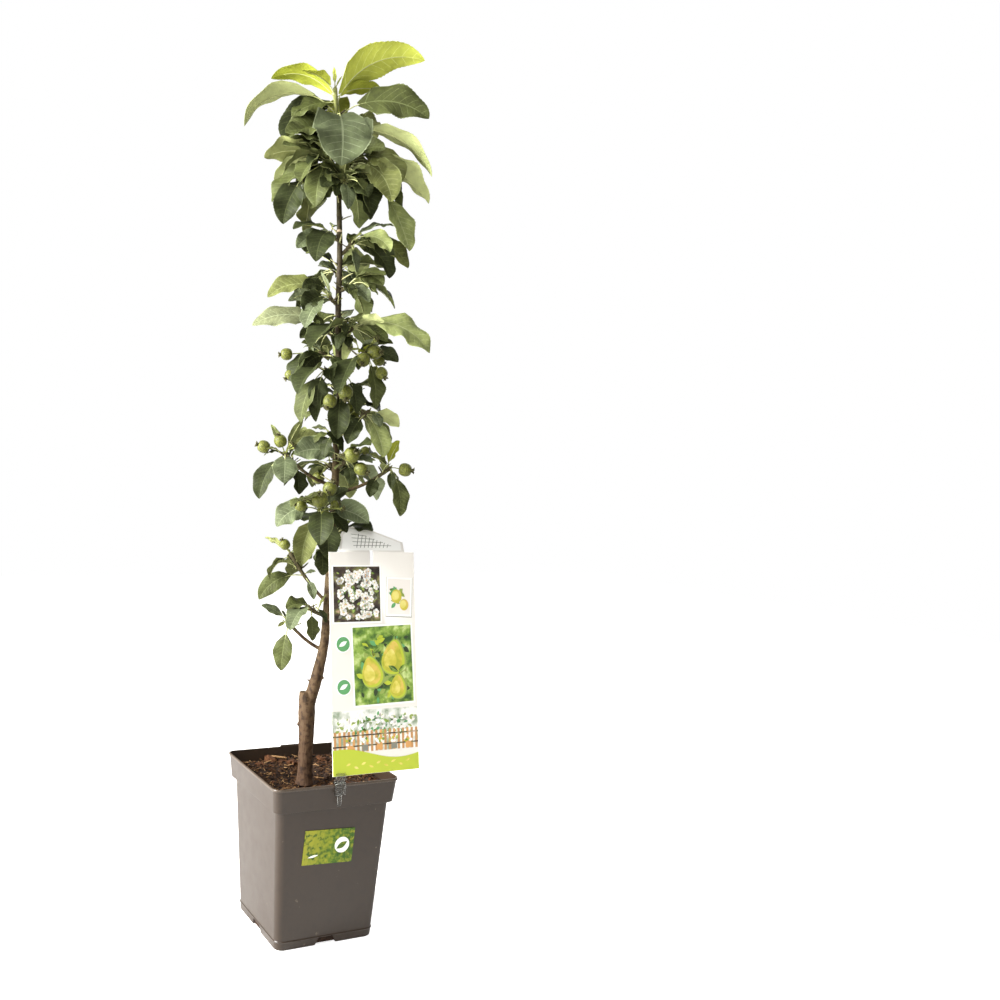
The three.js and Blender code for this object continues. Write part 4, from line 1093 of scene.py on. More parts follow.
def blade_skin():
    """The faces of every blade, upper side, underside and edge, and which finish each has."""
    n, count = len(COLUMNS), len(ROWS) * len(COLUMNS)
    faces, slots = [], []
    for r in range(len(ROWS) - 1):
        for k in range(n - 1):
            near, far = sorted((abs(COLUMNS[k]), abs(COLUMNS[k + 1])))
            vein = far == MIDRIB or (ROWS[r][2] and far < MARGIN)
            a = r * n + k
            faces.append((a, a + n, a + n + 1, a + 1))
            slots.append(VEIN if vein or near == MARGIN else UPPER)
            faces.append((count + a, count + a + 1, count + a + n + 1, count + a + n))
            slots.append(VEIN if vein else UNDER)
        left, right = r * n, r * n + n - 1
        faces.append((left, count + left, count + left + n, left + n))
        faces.append((right, right + n, count + right + n, count + right))
        slots += [UNDER, UNDER]
    for edge in (0, (len(ROWS) - 1) * n):
        faces += [(edge + k, edge + k + 1, count + edge + k + 1, count + edge + k) for k in range(n - 1)]
        slots += [UNDER] * (n - 1)
    return faces, slots


BLADE_FACES, BLADE_SLOTS = blade_skin()


def half_width(t):
    """Half the blade's width at a share of its length: oval, with a short point."""
    return math.sin(math.pi * t**0.84) ** 0.62 * (1 - 0.3 * t**10)


def make_leaf(shape, root, tip, bend, twist, breadth, stalk, roll):
    """A leaf on its stalk. The draws give its fold and curl, its further twist and its wavy edge."""
    at, length = leaf_arc(root, tip, bend)
    half = length * (1 - stalk) * BLADE_WIDTH * breadth / 2
    fold = FOLD + MORE_FOLD * roll()
    curl = CURL + MORE_CURL * roll()
    swing = SWING * (roll() - 0.5)
    starts = [2 * math.pi * roll(), 2 * math.pi * roll()]
    wave = WAVE + MORE_WAVE * roll()
    lobe = HEART_LOBE if breadth > HEART_SHAPED else LOBE

    def frame_at(t):
        """A place on the midrib, the way the blade faces there and the way to its side."""
        point, along, face = at(stalk + (1 - stalk) * t)
        turn = math.radians(twist + swing * t)
        normal = face * math.cos(turn) + along.cross(face) * math.sin(turn)
        return point, normal, normal.cross(along).normalized()

    def blade_point(r, s):
        """A place on the upper side, in a row and a column, and the way it faces."""
        t, raised, _ = ROWS[r]
        reach = abs(s)
        base = (1 - t) ** LOBE_FADE
        here = t + VEIN_SWEEP * reach * min(1, 6 * t) * (1 - t) - lobe * math.sin(2.7 * reach) * base
        point, normal, side = frame_at(here)
        tooth = TOOTH * (-1) ** r if reach == 1 and 0 < r < len(ROWS) - 1 else 0
        width = half * max(half_width(max(here, 0)), LEAST_WIDTH, LOBE_WIDTH * lobe * base) * (1 + tooth)
        ripple = wave * math.sin(2 * math.pi * WAVES * here + starts[s > 0]) * reach**2
        lift = width * (fold * reach - curl * reach**2 + ripple - fold * FOLD_DROP)
        lift += QUILT * raised * (1 - reach) * min(1, reach * 6) * min(1, width / 8)
        return point + side * (s * width) + normal * lift, normal

    top = [blade_point(r, s) for r in range(len(ROWS)) for s in COLUMNS]
    under = [spot - normal * BLADE_THICKNESS for spot, normal in top]
    shape.add([spot for spot, _ in top] + under, BLADE_FACES, BLADE_SLOTS)
    rib, radii = [], []
    for k in range(RIB_STEPS + 1):
        f = k / RIB_STEPS * (stalk + (1 - stalk) * RIB_END)
        t = max(0, (f - stalk) / (1 - stalk))
        sunk = half * half_width(t) * fold * FOLD_DROP if t > 0 else 0
        below = sunk + BLADE_THICKNESS + (RIB_RAISED if t > 0 else 0)
        rib.append(at(f)[0] - frame_at(t)[1] * below)
        radii.append(PETIOLE_GIRTH * (1.25 - 0.35 * min(1, f / stalk)) * (1 - 0.75 * t) / 2)
    tube(shape, rib, radii, 6, PETIOLE)


# ------------------------------------------------------------------ crown
# Leaves stand round the heart of each spur. Its own come first, then those that the rule adds, each a
# turn on from the last, then small ones on fine twigs, and last some close in to the trunk. All the
# leaves of one tone are one piece.

LEAF_TURN = 144
TURN_PLAY = 16
COLUMN_REACH = 82
CROWN_REACH = 112
CROWN_FOOT = 1030
LEANS = (0, 9, -9, 18, -18)
LEAN_NEAR = 0.8
RULE_LENGTH, MORE_RULE_LENGTH = 58, 34
RULE_RISE, RULE_FALL, RISE_PLAY = 30, 85, 20
RULE_BEND, MORE_RULE_BEND = 70, 40
INWARD = -0.45
SMALL_LEAVES, CROWN_SMALL_LEAVES = 8, 15
SMALL_LENGTH, CROWN_SMALL_LENGTH, MORE_LENGTH = 20, 26, 24
SMALL_STALK = 0.2
SMALL_BEND, MORE_SMALL_BEND = 50, 60
# Where on a spur's stem the small leaves stand: from which share of it, and over how much.
SMALL_STRETCH, TIP_STRETCH = (0.35, 0.65), (0.05, 0.4)
SMALL_TONES, CROWN_SMALL_TONES = "dmgdm", "dmddm"
RULE_TONES, CROWN_RULE_TONES, TIP_RULE_TONES = "dmgd", "mmgd", "yyyy"
TRUNK_CLEARANCE = 14
# Further leaves close in, where the crown is thickest and among the fruit: the leaves and their tones.
INNER = {
    "crown_front": ([
        (0.9, 34, 34, -26, 85, 30, 1.1, 0.2), (0.9, 20, 40, 4, 70, 15, 0.9, 0.2),
        (0.8, -22, 38, 2, 80, -20, 0.9, 0.2), (1, -30, 34, -18, 75, -30, 1, 0.2),
        (1, 12, 20, -16, 60, 20, 0.35, 0.4), (0.7, -8, 20, -14, 50, -20, 0.3, 0.4),
        (0.8, 3, 22, 12, 40, 0, 0.3, 0.4), (0.6, 12, 16, 12, 40, 20, 0.3, 0.4),
        (1, -2, 22, -24, 50, 0, 0.3, 0.3), (1, 18, 14, 4, 50, 30, 0.3, 0.4),
    ], "ddddpppppp"),
    "crown_left": ([
        (0.7, -30, 34, -10, 80, -30, 1, 0.2), (0.9, -46, 20, 22, 90, -50, 0.9, 0.2),
        (0.6, -26, 26, 26, 70, -20, 0.9, 0.2),
    ], "dmd"),
    "crown_right": ([
        (0.7, 28, 30, 8, 80, 25, 1, 0.2), (0.9, 44, 10, 20, 90, 45, 0.9, 0.2),
        (0.8, 40, 26, -30, 80, 30, 1, 0.2),
    ], "dmd"),
    "right_cluster": ([
        (0.95, 4, 18, 9, 40, 20, 0.8, 0.2), (1, -11, 18, -3, 50, -20, 0.7, 0.2),
        (1, 17, 18, 5, 50, 10, 0.6, 0.2),
    ], "yyp"),
}


def in_crown(spur):
    return spur.height > CROWN_FOOT


def rule_leaves(spur, roll):
    """The leaves that the rule adds to a spur, each a turn on from the last round the heart."""
    leaves = []
    heart = spur.heart
    outward = math.atan2(heart[1], heart[0])
    bearing = outward + math.radians(roll() * 90 - 45)
    for k in range(spur.more):
        reach = RULE_LENGTH + MORE_RULE_LENGTH * roll()
        rise = math.radians(RULE_RISE - RULE_FALL * (k + 0.5) / spur.more + RISE_PLAY * (roll() - 0.5))
        inward = math.cos(bearing - outward) < INWARD
        heading = bearing + math.pi if inward else bearing
        level = reach * math.cos(rise)
        side = abs(heart[0] + level * math.cos(heading))
        bearing += math.radians(LEAF_TURN + TURN_PLAY * (roll() - 0.5))
        draws = [roll() for _ in range(4)]
        if side > (CROWN_REACH if in_crown(spur) else COLUMN_REACH):
            continue
        across, out = level * math.cos(heading), level * math.sin(heading)
        bend, twist = RULE_BEND + MORE_RULE_BEND * draws[1], 40 * (draws[2] - 0.5)
        place = (0.75 + 0.25 * draws[0], across, out, reach * math.sin(rise))
        leaves.append(place + (bend, twist, 0.85 + 0.25 * draws[3]))
    return leaves


def find_lean(corners, root, across, out, up):
    """How far the solid's own leaf leans out or in to find room, or None where it has no such leaf."""
    for lean in LEANS:
        end = np.array(root + from_show(across, out + lean, up))
        if np.linalg.norm(corners - end, axis=1).min() < LEAN_NEAR:
            return lean
    return None


leaf_shapes = {tone: Shape() for tone in TONES}


def grow_leaf(spur, leaf, tone, lean, roll):
    at, across, out, up, bend, twist, breadth = leaf[:7]
    stalk = leaf[7] if len(leaf) > 7 else PETIOLE_SHARE
    root = spur_point(spur, at)
    tip = from_show(across, out + lean, up)
    make_leaf(leaf_shapes[tone], root, tip, bend, twist, breadth, stalk, roll)


def has_room(end, low, high):
    """Whether a leaf's tip stands clear of the trunk and within its spur's solid."""
    axis = on_trunk(min(end.z, TRUNK[-1][0]))
    if (Vector((end.x, end.y)) - Vector((axis.x, axis.y))).length < TRUNK_CLEARANCE:
        return False
    return all(lo <= e <= hi for e, lo, hi in zip(end, low, high))


def small_leaves(spur, corners, roll):
    """Fine twigs and small leaves that fill the spur, no further out than its solid reaches."""
    low, high = (Vector(c) for c in (corners.min(0), corners.max(0)))
    crown = in_crown(spur)
    tones = CROWN_SMALL_TONES if crown else SMALL_TONES
    start, share = TIP_STRETCH if spur is SPURS[0] else SMALL_STRETCH
    for k in range(CROWN_SMALL_LEAVES if crown else SMALL_LEAVES):
        bearing = math.radians(LEAF_TURN * k + 40 * roll())
        rise = math.radians(-55 + 100 * roll())
        length = (CROWN_SMALL_LENGTH if crown else SMALL_LENGTH) + MORE_LENGTH * roll()
        root = spur_point(spur, spur.bough + (1 - spur.bough) * (start + share * roll()))
        way = from_show(math.cos(bearing), math.sin(bearing), 0)
        if roll() < 0.5:
            twig_tip = root + way * (5 + 9 * roll()) + UP * 4
            make_twig(root, twig_tip, FINE_GIRTH, YOUNG_WOOD if crown else OLD_WOOD)
            root = twig_tip
        tip = way * length * math.cos(rise) + UP * length * math.sin(rise)
        draws = [roll() for _ in range(4)]
        if has_room(root + tip, low, high):
            blade = leaf_shapes[tones[int(draws[0] * 5)]]
            bend, twist = SMALL_BEND + MORE_SMALL_BEND * draws[1], 80 * (draws[2] - 0.5)
            make_leaf(blade, root, tip, bend, twist, 0.8 + 0.4 * draws[3], SMALL_STALK, roll)


def dress_spur(number, spur):
    """Grows the spur's own leaves, those of the rule, the small ones and the inner ones."""
    corners = read_vectors(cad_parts[spur.name].data.vertices, "co") / MM
    look = dice(SEED + 977 * (number + 1))
    for leaf, tone in zip(spur.leaves, spur.tones):
        lean = find_lean(corners, spur_point(spur, leaf[0]), *leaf[1:4])
        grow_leaf(spur, leaf, tone, lean or 0, look)
    tones = CROWN_RULE_TONES if in_crown(spur) else RULE_TONES
    tones = TIP_RULE_TONES if number == 0 else tones
    for leaf in rule_leaves(spur, rule_dice[spur.name]):
        lean = find_lean(corners, spur_point(spur, leaf[0]), *leaf[1:4])
        tone = tones[int(look() * 4)]
        if lean is not None:
            grow_leaf(spur, leaf, tone, lean, look)
    small_leaves(spur, corners, look)
    for leaf, tone in zip(*INNER.get(spur.name, ((), ""))):
        grow_leaf(spur, leaf, tone, 0, look)


def leaf_skins(tone):
    """The four finishes of a tone's leaves: matt above, paler and duller beneath."""
    upper, vein, under = TONES[tone]
    skins = [
        material(f"leaf_{tone}_upper", upper, 0.6, Specular_IOR_Level=0.12),
        material(f"leaf_{tone}_vein", vein, 0.65, Specular_IOR_Level=0.12),
        material(f"leaf_{tone}_under", under, 0.8, Specular_IOR_Level=0.12),
        material(f"leaf_{tone}_stalk", STALK_GREEN, 0.6),
    ]
    mottle(skins[UPPER], upper, 85, 0.1)
    mottle(skins[VEIN], vein, 200, 0.06)
    mottle(skins[PETIOLE], STALK_GREEN, 200, 0.08)
    mottle(skins[UNDER], under, 120, 0.04)
    relief(skins[UPPER], grain(skins[UPPER], 300, 3), 0.5)
    relief(skins[UNDER], grain(skins[UNDER], 400, 3), 0.35)
    return skins


for number, each in enumerate(SPURS):
    dress_spur(number, each)
for tone, blades in leaf_shapes.items():
    leaves = blades.piece(f"leaves_{tone}", leaf_skins(tone), 50)
    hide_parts(*MASSES)
woods = [
    earthy("twig_brown", "#3a3424", "#565036", 300, 0.3),
    earthy("twig_green", "#5d6136", "#7d7f4a", 300, 0.15),
    earthy("leaf_stalk", "#98956a", "#b1ae7e", 300, 0.1),
]
twig_piece = twigs.piece("stems_and_twigs", woods, 60)
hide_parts(*MASSES)


# ------------------------------------------------------------------ fruit
# Young apples hang round the hearts on short stalks: pale green and downy, dimpled at the stalk and at
# the eye, where the dry sepals of the blossom still stand. A few withered blossoms are left between.

FRUIT_RINGS = 15
FRUIT_SIDES = 20
STALK_RADII = (0.8, 0.65, 0.8)
DIMPLE, DIMPLE_SPREAD = 0.3, 0.1
EYE, EYE_SPREAD = 0.16, 0.16
SQUARENESS = 0.05
EYE_RIBS = 0.035
SEPALS = 5
# A sepal's levels on a fruit of radius 1: how far from its axis, how far along it, and the radius there.
SEPAL_LEVELS = ((0.1, 0.8, 0.16), (0.18, 1.06, 0.15), (0.3, 1.22, 0.11), (0.5, 1.26, 0.03))
# Withered blossoms, as (spur, across, out, up) from its heart.
WITHERED = [
    ("right_cluster", -14, 12, 0), ("right_cluster", 10, 16, 12), ("front_fruit", -8, 10, 6),
    ("low_fruit", 8, 12, 20), ("low_fruit", 24, 16, 4), ("low_fruit", -16, 18, 12), ("left_spur", 6, 8, 8),
    ("centre_fruit", -4, 14, 4), ("lower_left", 8, 8, 8), ("lowest_left", 4, 8, 10),
]
WITHERED_CUPS = 3
WITHERED_SPREAD = 14
fruit = Shape()
SKIN, DRY, STALK = range(3)


def fruit_ring(polar, phase):
    """One level of a fruit of radius 1: dimpled at the stalk, puckered round the eye."""
    eye = math.exp(-((math.pi - polar) ** 2) / EYE_SPREAD)
    dimple = math.exp(-(polar**2) / DIMPLE_SPREAD)
    level = -math.cos(polar) + DIMPLE * dimple - EYE * eye
    wide = math.sin(polar) * (1 + SQUARENESS * math.cos(polar * 2))
    ring = []
    for n in range(FRUIT_SIDES):
        turn = 2 * math.pi * n / FRUIT_SIDES
        rib = 1 + EYE_RIBS * eye * math.cos(SEPALS * turn + phase)
        ring.append(Vector((wide * rib * math.cos(turn), wide * rib * math.sin(turn), level)))
    return ring


def make_fruit(root, offset, diameter, roll):
    radius = diameter / 2
    way = offset.normalized()
    centre = root + offset
    spin = way.to_track_quat("Z", "Y").to_matrix()
    phase = 2 * math.pi * roll()
    levels = [fruit_ring(math.pi * k / FRUIT_RINGS, phase) for k in range(1, FRUIT_RINGS)]
    fruit.loft([[centre + spin @ p * radius for p in ring] for ring in levels], SKIN)
    near = centre - way * radius * 0.72
    tube(fruit, [root, (root + near) / 2 + UP * 0.8, near], STALK_RADII, 6, STALK)
    for n in range(SEPALS):
        turn = 2 * math.pi * n / SEPALS + phase
        lean = Vector((math.cos(turn), math.sin(turn), 0))
        points = [centre + spin @ (lean * a + Vector((0, 0, b))) * radius for a, b, _ in SEPAL_LEVELS]
        tube(fruit, points, [radius * r for _, _, r in SEPAL_LEVELS], 5, DRY)


def make_withered(heart, place, roll):
    """Blossoms that set no fruit: a few dried cups on thin stalks, each a star of brown sepals."""
    for _ in range(WITHERED_CUPS):
        stray = Vector((roll() - 0.5, roll() - 0.5, roll() - 0.5)) * WITHERED_SPREAD
        way = (place - heart + stray).normalized()
        cup = place + way * (3 + 5 * roll())
        tube(fruit, [heart, (heart + cup) / 2 + UP * 2, cup], [0.6, 0.55, 0.8], 5, STALK)
        tube(fruit, [cup - way, cup + way, cup + way * 3], [0.8, 1.5, 1.2], 7, STALK)
        side = way.orthogonal().normalized()
        for n in range(SEPALS):
            lean = Matrix.Rotation(2 * math.pi * (n + roll() * 0.4) / SEPALS, 3, way) @ side
            sepal = [cup + way * 3, cup + way * 4 + lean * 2.4, cup + way * 3.4 + lean * 4.6]
            tube(fruit, sepal, [0.7, 0.7, 0.2], 5, DRY)


def fruit_skin():
    """Green with lighter and darker specks, and a faint down."""
    skin = material("fruit_skin", "#505412", 0.5, Sheen_Weight=0.08, Specular_IOR_Level=0.32)
    specks = [(0.3, "#383c0e"), (0.5, "#505412"), (0.7, "#6e7026")]
    feed(skin, "Base Color", ramp(skin, grain(skin, 520, 5), specks))
    relief(skin, grain(skin, 1400, 3), 0.3)
    return skin


def make_fruits():
    roll = dice(SEED + 55)
    for spur in SPURS:
        for across, out, up, diameter in spur.fruit:
            make_fruit(spur_point(spur, 1), from_show(across, out, up), diameter, roll)
    for name, across, out, up in WITHERED:
        spur = next(s for s in SPURS if s.name == name)
        heart = spur_point(spur, 1)
        make_withered(heart, heart + from_show(across, out, up), roll)
    skins = [
        fruit_skin(),
        earthy("dried_sepal", "#2f2d17", "#5a5838", 500, 0.3),
        earthy("fruit_stalk", "#757a40", "#89904e", 300, 0.1),
    ]
    piece = fruit.piece("fruit", skins, 60)
    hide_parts(*[spur.name for spur in SPURS if spur.fruit])


make_fruits()


# ------------------------------------------------------------------ label
# A stiff printed card, matt laminated, stands in a clear clip on the rim and leans back towards the
# trunk. A hanger flap is creased back at its top, with a slot through the crease.

LABEL_WIDTH = 134
LABEL_HEIGHT = 302
LABEL_THICKNESS = 0.9
LABEL_EDGE = 0.15
LABEL_TILT = 8.7
LABEL_CORNER = (-11.7, 240.2)
LABEL_PLANE = POT_SIDE / 2 + 0.6
FLAP_OUTLINE = [(16, 0), (119, 0), (120, 16), (66, 38), (36, 40), (24, 28)]
FLAP_FOLD = 24
SLOT_WIDTH = 5
SLOT_LENGTH = 26
SLOT_PLACE = 66
SLOT_DROP = 6
INK = 0.04
INK_ROOT = 0.02
EDGE = 0.4
LIME_TOP, LIME_SWELL = 27, 8
FLAP_WHITE = [(20, 3), (115, 3), (116, 15), (66, 35), (38, 37), (28, 27)]
# The pictures, as (x, z, width, height) from the card's lower left corner.
GARDEN = (EDGE, 30, LABEL_WIDTH - 2 * EDGE, 56)
PEARS = (36, 92, 92, 106)
PEARS_TURN = 1.2
BLOSSOM = (6, 206, 72, 76)
LEMONS = (86, 212, 42, 56)
LEMONS_TURN = -3
BADGE_SIDE = 19
BADGE_HEIGHTS = (176, 118)
BADGE_RADIUS = 11.5
INKS = {
    "ground": "#e3dfd7", "white": "#f2f1ec", "sky": "#cdd0c6", "lime": "#b2bf3c", "leaf": "#6f8a38",
    "deep": "#34402a", "gold": "#c3b842", "blush": "#cf9a5e", "petal": "#e6e0d8", "wood": "#b98a58",
    "shade": "#7f8074", "mint": "#5f9c64", "sun": "#dcd583", "moss": "#8fa052", "dusk": "#4d4a44",
}
# Inks printed as a soft blur of several colours.
BLURRED = {
    "leaf": [(0.36, "#35502a"), (0.46, "#5f7f34"), (0.56, "#8aa64a"), (0.68, "#c4d38c")],
    "dusk": [(0.36, "#26211d"), (0.5, "#4b3f35"), (0.58, "#6b6f3c"), (0.68, "#b89a80")],
    "sky": [(0.36, "#8b9a80"), (0.47, "#c3c8ba"), (0.58, "#e9e9e2")],
    "gold": [(0.36, "#a4a637"), (0.5, "#bdb441"), (0.64, "#d3b85c")],
    "sun": [(0.36, "#bdb441"), (0.5, "#d3c85f"), (0.64, "#ddd27d")],
}
INK_ORDER = list(INKS)


def label_place():
    """Where the card stands: tilted back, with its lower left corner at the clip."""
    corner = Matrix.Translation((LABEL_CORNER[0], -LABEL_PLANE, LABEL_CORNER[1]))
    tilt = Matrix.Rotation(-math.radians(LABEL_TILT), 4, "X")
    return corner @ tilt


def flap_fold():
    """The card's crease: the flap leans back from it."""
    crease = Matrix.Translation((0, 0, LABEL_HEIGHT - LABEL_THICKNESS / 2))
    return crease @ Matrix.Rotation(-math.radians(FLAP_FOLD), 4, "X")


def make_card():
    paper = material("label_paper", INKS["ground"], 0.38)
    relief(paper, grain(paper, 600, 2), 0.05)
    body, flap, slot = Shape(), Shape(), Shape()
    body.block((0, -LABEL_THICKNESS, 0), (LABEL_WIDTH, 0, LABEL_HEIGHT))
    flap.prism(FLAP_OUTLINE, -LABEL_THICKNESS, 0)
    half, deep = SLOT_WIDTH / 2, SLOT_LENGTH / 2
    middle = LABEL_HEIGHT - SLOT_DROP
    slot.block((SLOT_PLACE - half, -deep, middle - deep), (SLOT_PLACE + half, deep, middle + deep))
    card = body.piece("label", [paper])
    combine(card, flap.piece("flap", [paper], move=flap_fold()), "UNION")
    combine(card, slot.piece("slot_cutter", []), "DIFFERENCE")
    soften(card, LABEL_EDGE)
    card.data.transform(Matrix.Scale(MM, 4) @ label_place() @ Matrix.Scale(1 / MM, 4))
    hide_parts("label_card")


def disc(x, z, radius, count=20, squash=1.0, turn=0.0):
    """The outline of a round or oval spot."""
    c, s = math.cos(turn), math.sin(turn)
    ring = []
    for k in range(count):
        around = 2 * math.pi * k / count
        a, b = radius * math.cos(around), squash * radius * math.sin(around)
        ring.append((x + a * c - b * s, z + a * s + b * c))
    return ring


def leaf_mark(x, z, length, width, turn):
    """The outline of a printed leaf."""
    c, s = math.cos(turn), math.sin(turn)
    shares = [k / 10 for k in range(11)]
    half = [(length * f, width / 2 * math.sin(math.pi * f)) for f in shares]
    points = half + [(a, -b) for a, b in half[-2:0:-1]]
    return [(x + a * c - b * s, z + a * s + b * c) for a, b in points]


def panel(x, z, width, height, turn=0.0):
    """The outline of a card, turned about its lower left corner."""
    c, s = math.cos(math.radians(turn)), math.sin(math.radians(turn))
    corners = ((0, 0), (width, 0), (width, height), (0, height))
    return [(x + a * c - b * s, z + a * s + b * c) for a, b in corners]


art = Shape()


def ink(outline, colour, layer):
    """One printed area; a higher layer lies over a lower one."""
    front = -LABEL_THICKNESS - INK * layer
    art.prism(outline, front - INK, -LABEL_THICKNESS + INK_ROOT, INK_ORDER.index(colour))


def scatter(x, z, width, height, count, size, colours, layer, roll):
    """Small leaves strewn over an area, turned every way and kept inside it."""
    for n in range(count):
        long = size * (0.6 + 0.6 * roll())
        turn = 2 * math.pi * roll()
        px = x + long * 1.05 + (width - 2.1 * long) * roll()
        pz = z + long * 1.05 + (height - 2.1 * long) * roll()
        ink(leaf_mark(px, pz, long, long * 0.5, turn), colours[n % len(colours)], layer + n % 3)


def blossom_picture(x, z, width, height, roll):
    """White blossom, wide open, against dark leaves."""
    ink(panel(x - 2, z - 2, width + 4, height + 4), "white", 1)
    ink(panel(x, z, width, height), "dusk", 2)
    scatter(x, z, width, height, 70, 8, ("leaf", "deep", "moss", "shade"), 3, roll)
    for n in range(84):
        px, pz = x + 6 + (width - 12) * roll(), z + 6 + (height - 12) * roll()
        size, turn = 2 + 0.9 * roll(), 2 * math.pi * roll()
        for k in range(5):
            a = turn + 2 * math.pi * k / 5
            petal = disc(px + size * math.cos(a), pz + size * math.sin(a), size * 0.8, 8)
            ink(petal, ("petal", "white", "sky")[(n + k) % 3], 6 + n % 4)
        ink(disc(px, pz, size * 0.35, 6), ("gold", "blush")[n % 2], 10)


def pear(x, z, size, turn):
    """The outline of a pear, hanging by its stalk."""
    ring = []
    c, s = math.cos(math.radians(turn)), math.sin(math.radians(turn))
    for k in range(40):
        t = 2 * math.pi * k / 40
        wide = 0.36 - 0.13 * math.sin(t)
        a, b = size * wide * math.cos(t), size * 0.5 * math.sin(t)
        ring.append((x + a * c - b * s, z + a * s + b * c))
    return ring


def pear_picture(x, z, width, height, roll):
    """Yellow pears hanging among leaves."""
    ink(panel(x - 2.5, z - 2.5, width + 5, height + 5, PEARS_TURN), "white", 1)
    ink(panel(x, z, width, height, PEARS_TURN), "leaf", 2)
    scatter(x - 1, z, width, height, 90, 13, ("deep", "mint", "moss", "leaf", "deep", "lime"), 3, roll)
    for px, pz, size, turn in ((0.68, 0.6, 52, -8), (0.3, 0.42, 46, 12), (0.74, 0.22, 36, -4)):
        px, pz = x + width * px, z + height * pz
        ink(pear(px, pz, size, turn), "moss", 6)
        ink(pear(px - size * 0.025, pz + size * 0.01, size * 0.93, turn), "lime", 7)
        ink(pear(px - size * 0.06, pz + size * 0.02, size * 0.82, turn), "gold", 8)
        ink(pear(px - size * 0.12, pz - size * 0.03, size * 0.5, turn), "sun", 9)
        ink(panel(px + size * 0.02, pz + size * 0.46, 1.4, size * 0.2, turn), "dusk", 9)
        for side in (35, 150):
            ink(leaf_mark(px, pz + size * 0.55, size * 0.5, size * 0.2, math.radians(side)), "leaf", 10)
            ink(leaf_mark(px, pz + size * 0.55, size * 0.47, 0.9, math.radians(side)), "moss", 11)


def garden_strip(x, z, width, height, roll):
    """A garden fence of warm wood before shrubs and pale sky, with pots of flowers."""
    ink(panel(x, z, width, height), "sky", 1)
    shrubs = ("moss", "mint", "white", "leaf", "sky", "petal")
    scatter(x, z + height * 0.25, width, height * 0.72, 190, 8, shrubs, 2, roll)
    for k in range(19):
        ink(panel(x + 2 + k * (width - 7) / 18, z, 3.6, height * 0.5), ("wood", "blush", "wood")[k % 3], 5)
    for share in (0.13, 0.38):
        ink(panel(x, z + height * share, width, 1.8), "dusk", 6)
    for k in range(5):
        px = x + width * (0.2 + 0.17 * k)
        ink(panel(px - 4.5, z + 1, 9, 8), ("blush", "shade")[k % 2], 7)
        for n in range(9):
            flower = disc(px - 6 + 12 * roll(), z + 10 + 9 * roll(), 1.9, 8)
            ink(flower, ("white", "gold", "leaf", "petal")[n % 4], 8 + n % 3)


def lemon_picture(x, z, width, height, roll):
    """Two lemons on a small pale card, with its shade behind it."""
    ink(panel(x, z, width, height, LEMONS_TURN), "shade", 1)
    ink(panel(x + 0.5, z + 1, width - 1, height - 1, LEMONS_TURN), "white", 2)
    ink(panel(x + 3, z + 4, width - 6, height - 7, LEMONS_TURN), "petal", 3)
    scatter(x + 4, z + 6, width - 6, height - 12, 16, 13, ("leaf", "moss", "mint"), 4, roll)
    for px, pz, size in ((18, 28, 17), (30, 16, 14)):
        ink(disc(x + px, z + pz, size * 0.5, 24, 1.15), "gold", 7)
        ink(disc(x + px - 1.5, z + pz + 1, size * 0.34, 20, 1.15), "sun", 8)


def lime_band():
    """A lime band with a swelling upper edge and a row of small leaves along the foot of the card."""
    left, right = EDGE, LABEL_WIDTH - EDGE
    steps = [k / 24 for k in range(24, -1, -1)]
    swell = [(LABEL_WIDTH * t, LIME_TOP + LIME_SWELL * math.sin(math.pi * (t * 1.5 + 0.35))) for t in steps]
    ink([(left, left), (right, left)] + [(min(max(x, left), right), z) for x, z in swell], "lime", 12)
    for k in range(9):
        odd = k % 2
        ink(leaf_mark(20 + 11.5 * k, 13 - 2 * odd, 8, 3, math.radians(20 - 40 * odd)), "sun", 13)


def badge(x, z):
    """A round mint mark with a leaf in it."""
    ink(disc(x, z, BADGE_RADIUS, 28), "white", 8)
    ink(disc(x, z, BADGE_RADIUS - 1.5, 28), "mint", 9)
    ink(leaf_mark(x - 6.5, z - 3, 14, 6, 0.5), "white", 10)


def hatching():
    """The flap is white, with close grey lines across it."""
    start = len(art.points)
    ink(FLAP_WHITE, "white", 1)
    for k in range(9):
        low, high = (44 + 6 * k, 7), (52 + 5.4 * k, 29 - 2 * k)
        ink([low, (low[0] + 1, low[1]), (high[0] + 1, high[1]), high], "shade", 2)
    for k in range(4):
        end, near, far = 100 - 12 * k, 10 + 6 * k, 10 + 5 * k
        ink([(40, near), (end, far), (end, 10.8 + 5 * k), (40, 10.8 + 6 * k)], "shade", 2)
    for k in range(start, len(art.points)):
        art.points[k] = flap_fold() @ art.points[k]


def printing_inks():
    prints = []
    for name, colour in INKS.items():
        made = material("ink_" + name, colour, 0.36)
        if name in BLURRED:
            feed(made, "Base Color", ramp(made, grain(made, 75, 7), BLURRED[name]))
        relief(made, grain(made, 500, 2), 0.04)
        prints.append(made)
    return prints


def make_print():
    roll = dice(SEED + 808)
    hatching()
    lime_band()
    garden_strip(*GARDEN, roll)
    pear_picture(*PEARS, roll)
    blossom_picture(*BLOSSOM, roll)
    lemon_picture(*LEMONS, roll)
    for height in BADGE_HEIGHTS:
        badge(BADGE_SIDE, height)
    piece = art.piece("label_print", printing_inks(), 40, label_place())
    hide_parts("label_card")


make_card()
make_print()


# ------------------------------------------------------------------ label clip
# A small moulded clip of clear, slightly clouded plastic. Its hook grips the rim from inside the pot, a
# tongue lies down the wall outside, and two jaws on top hold the foot of the card.

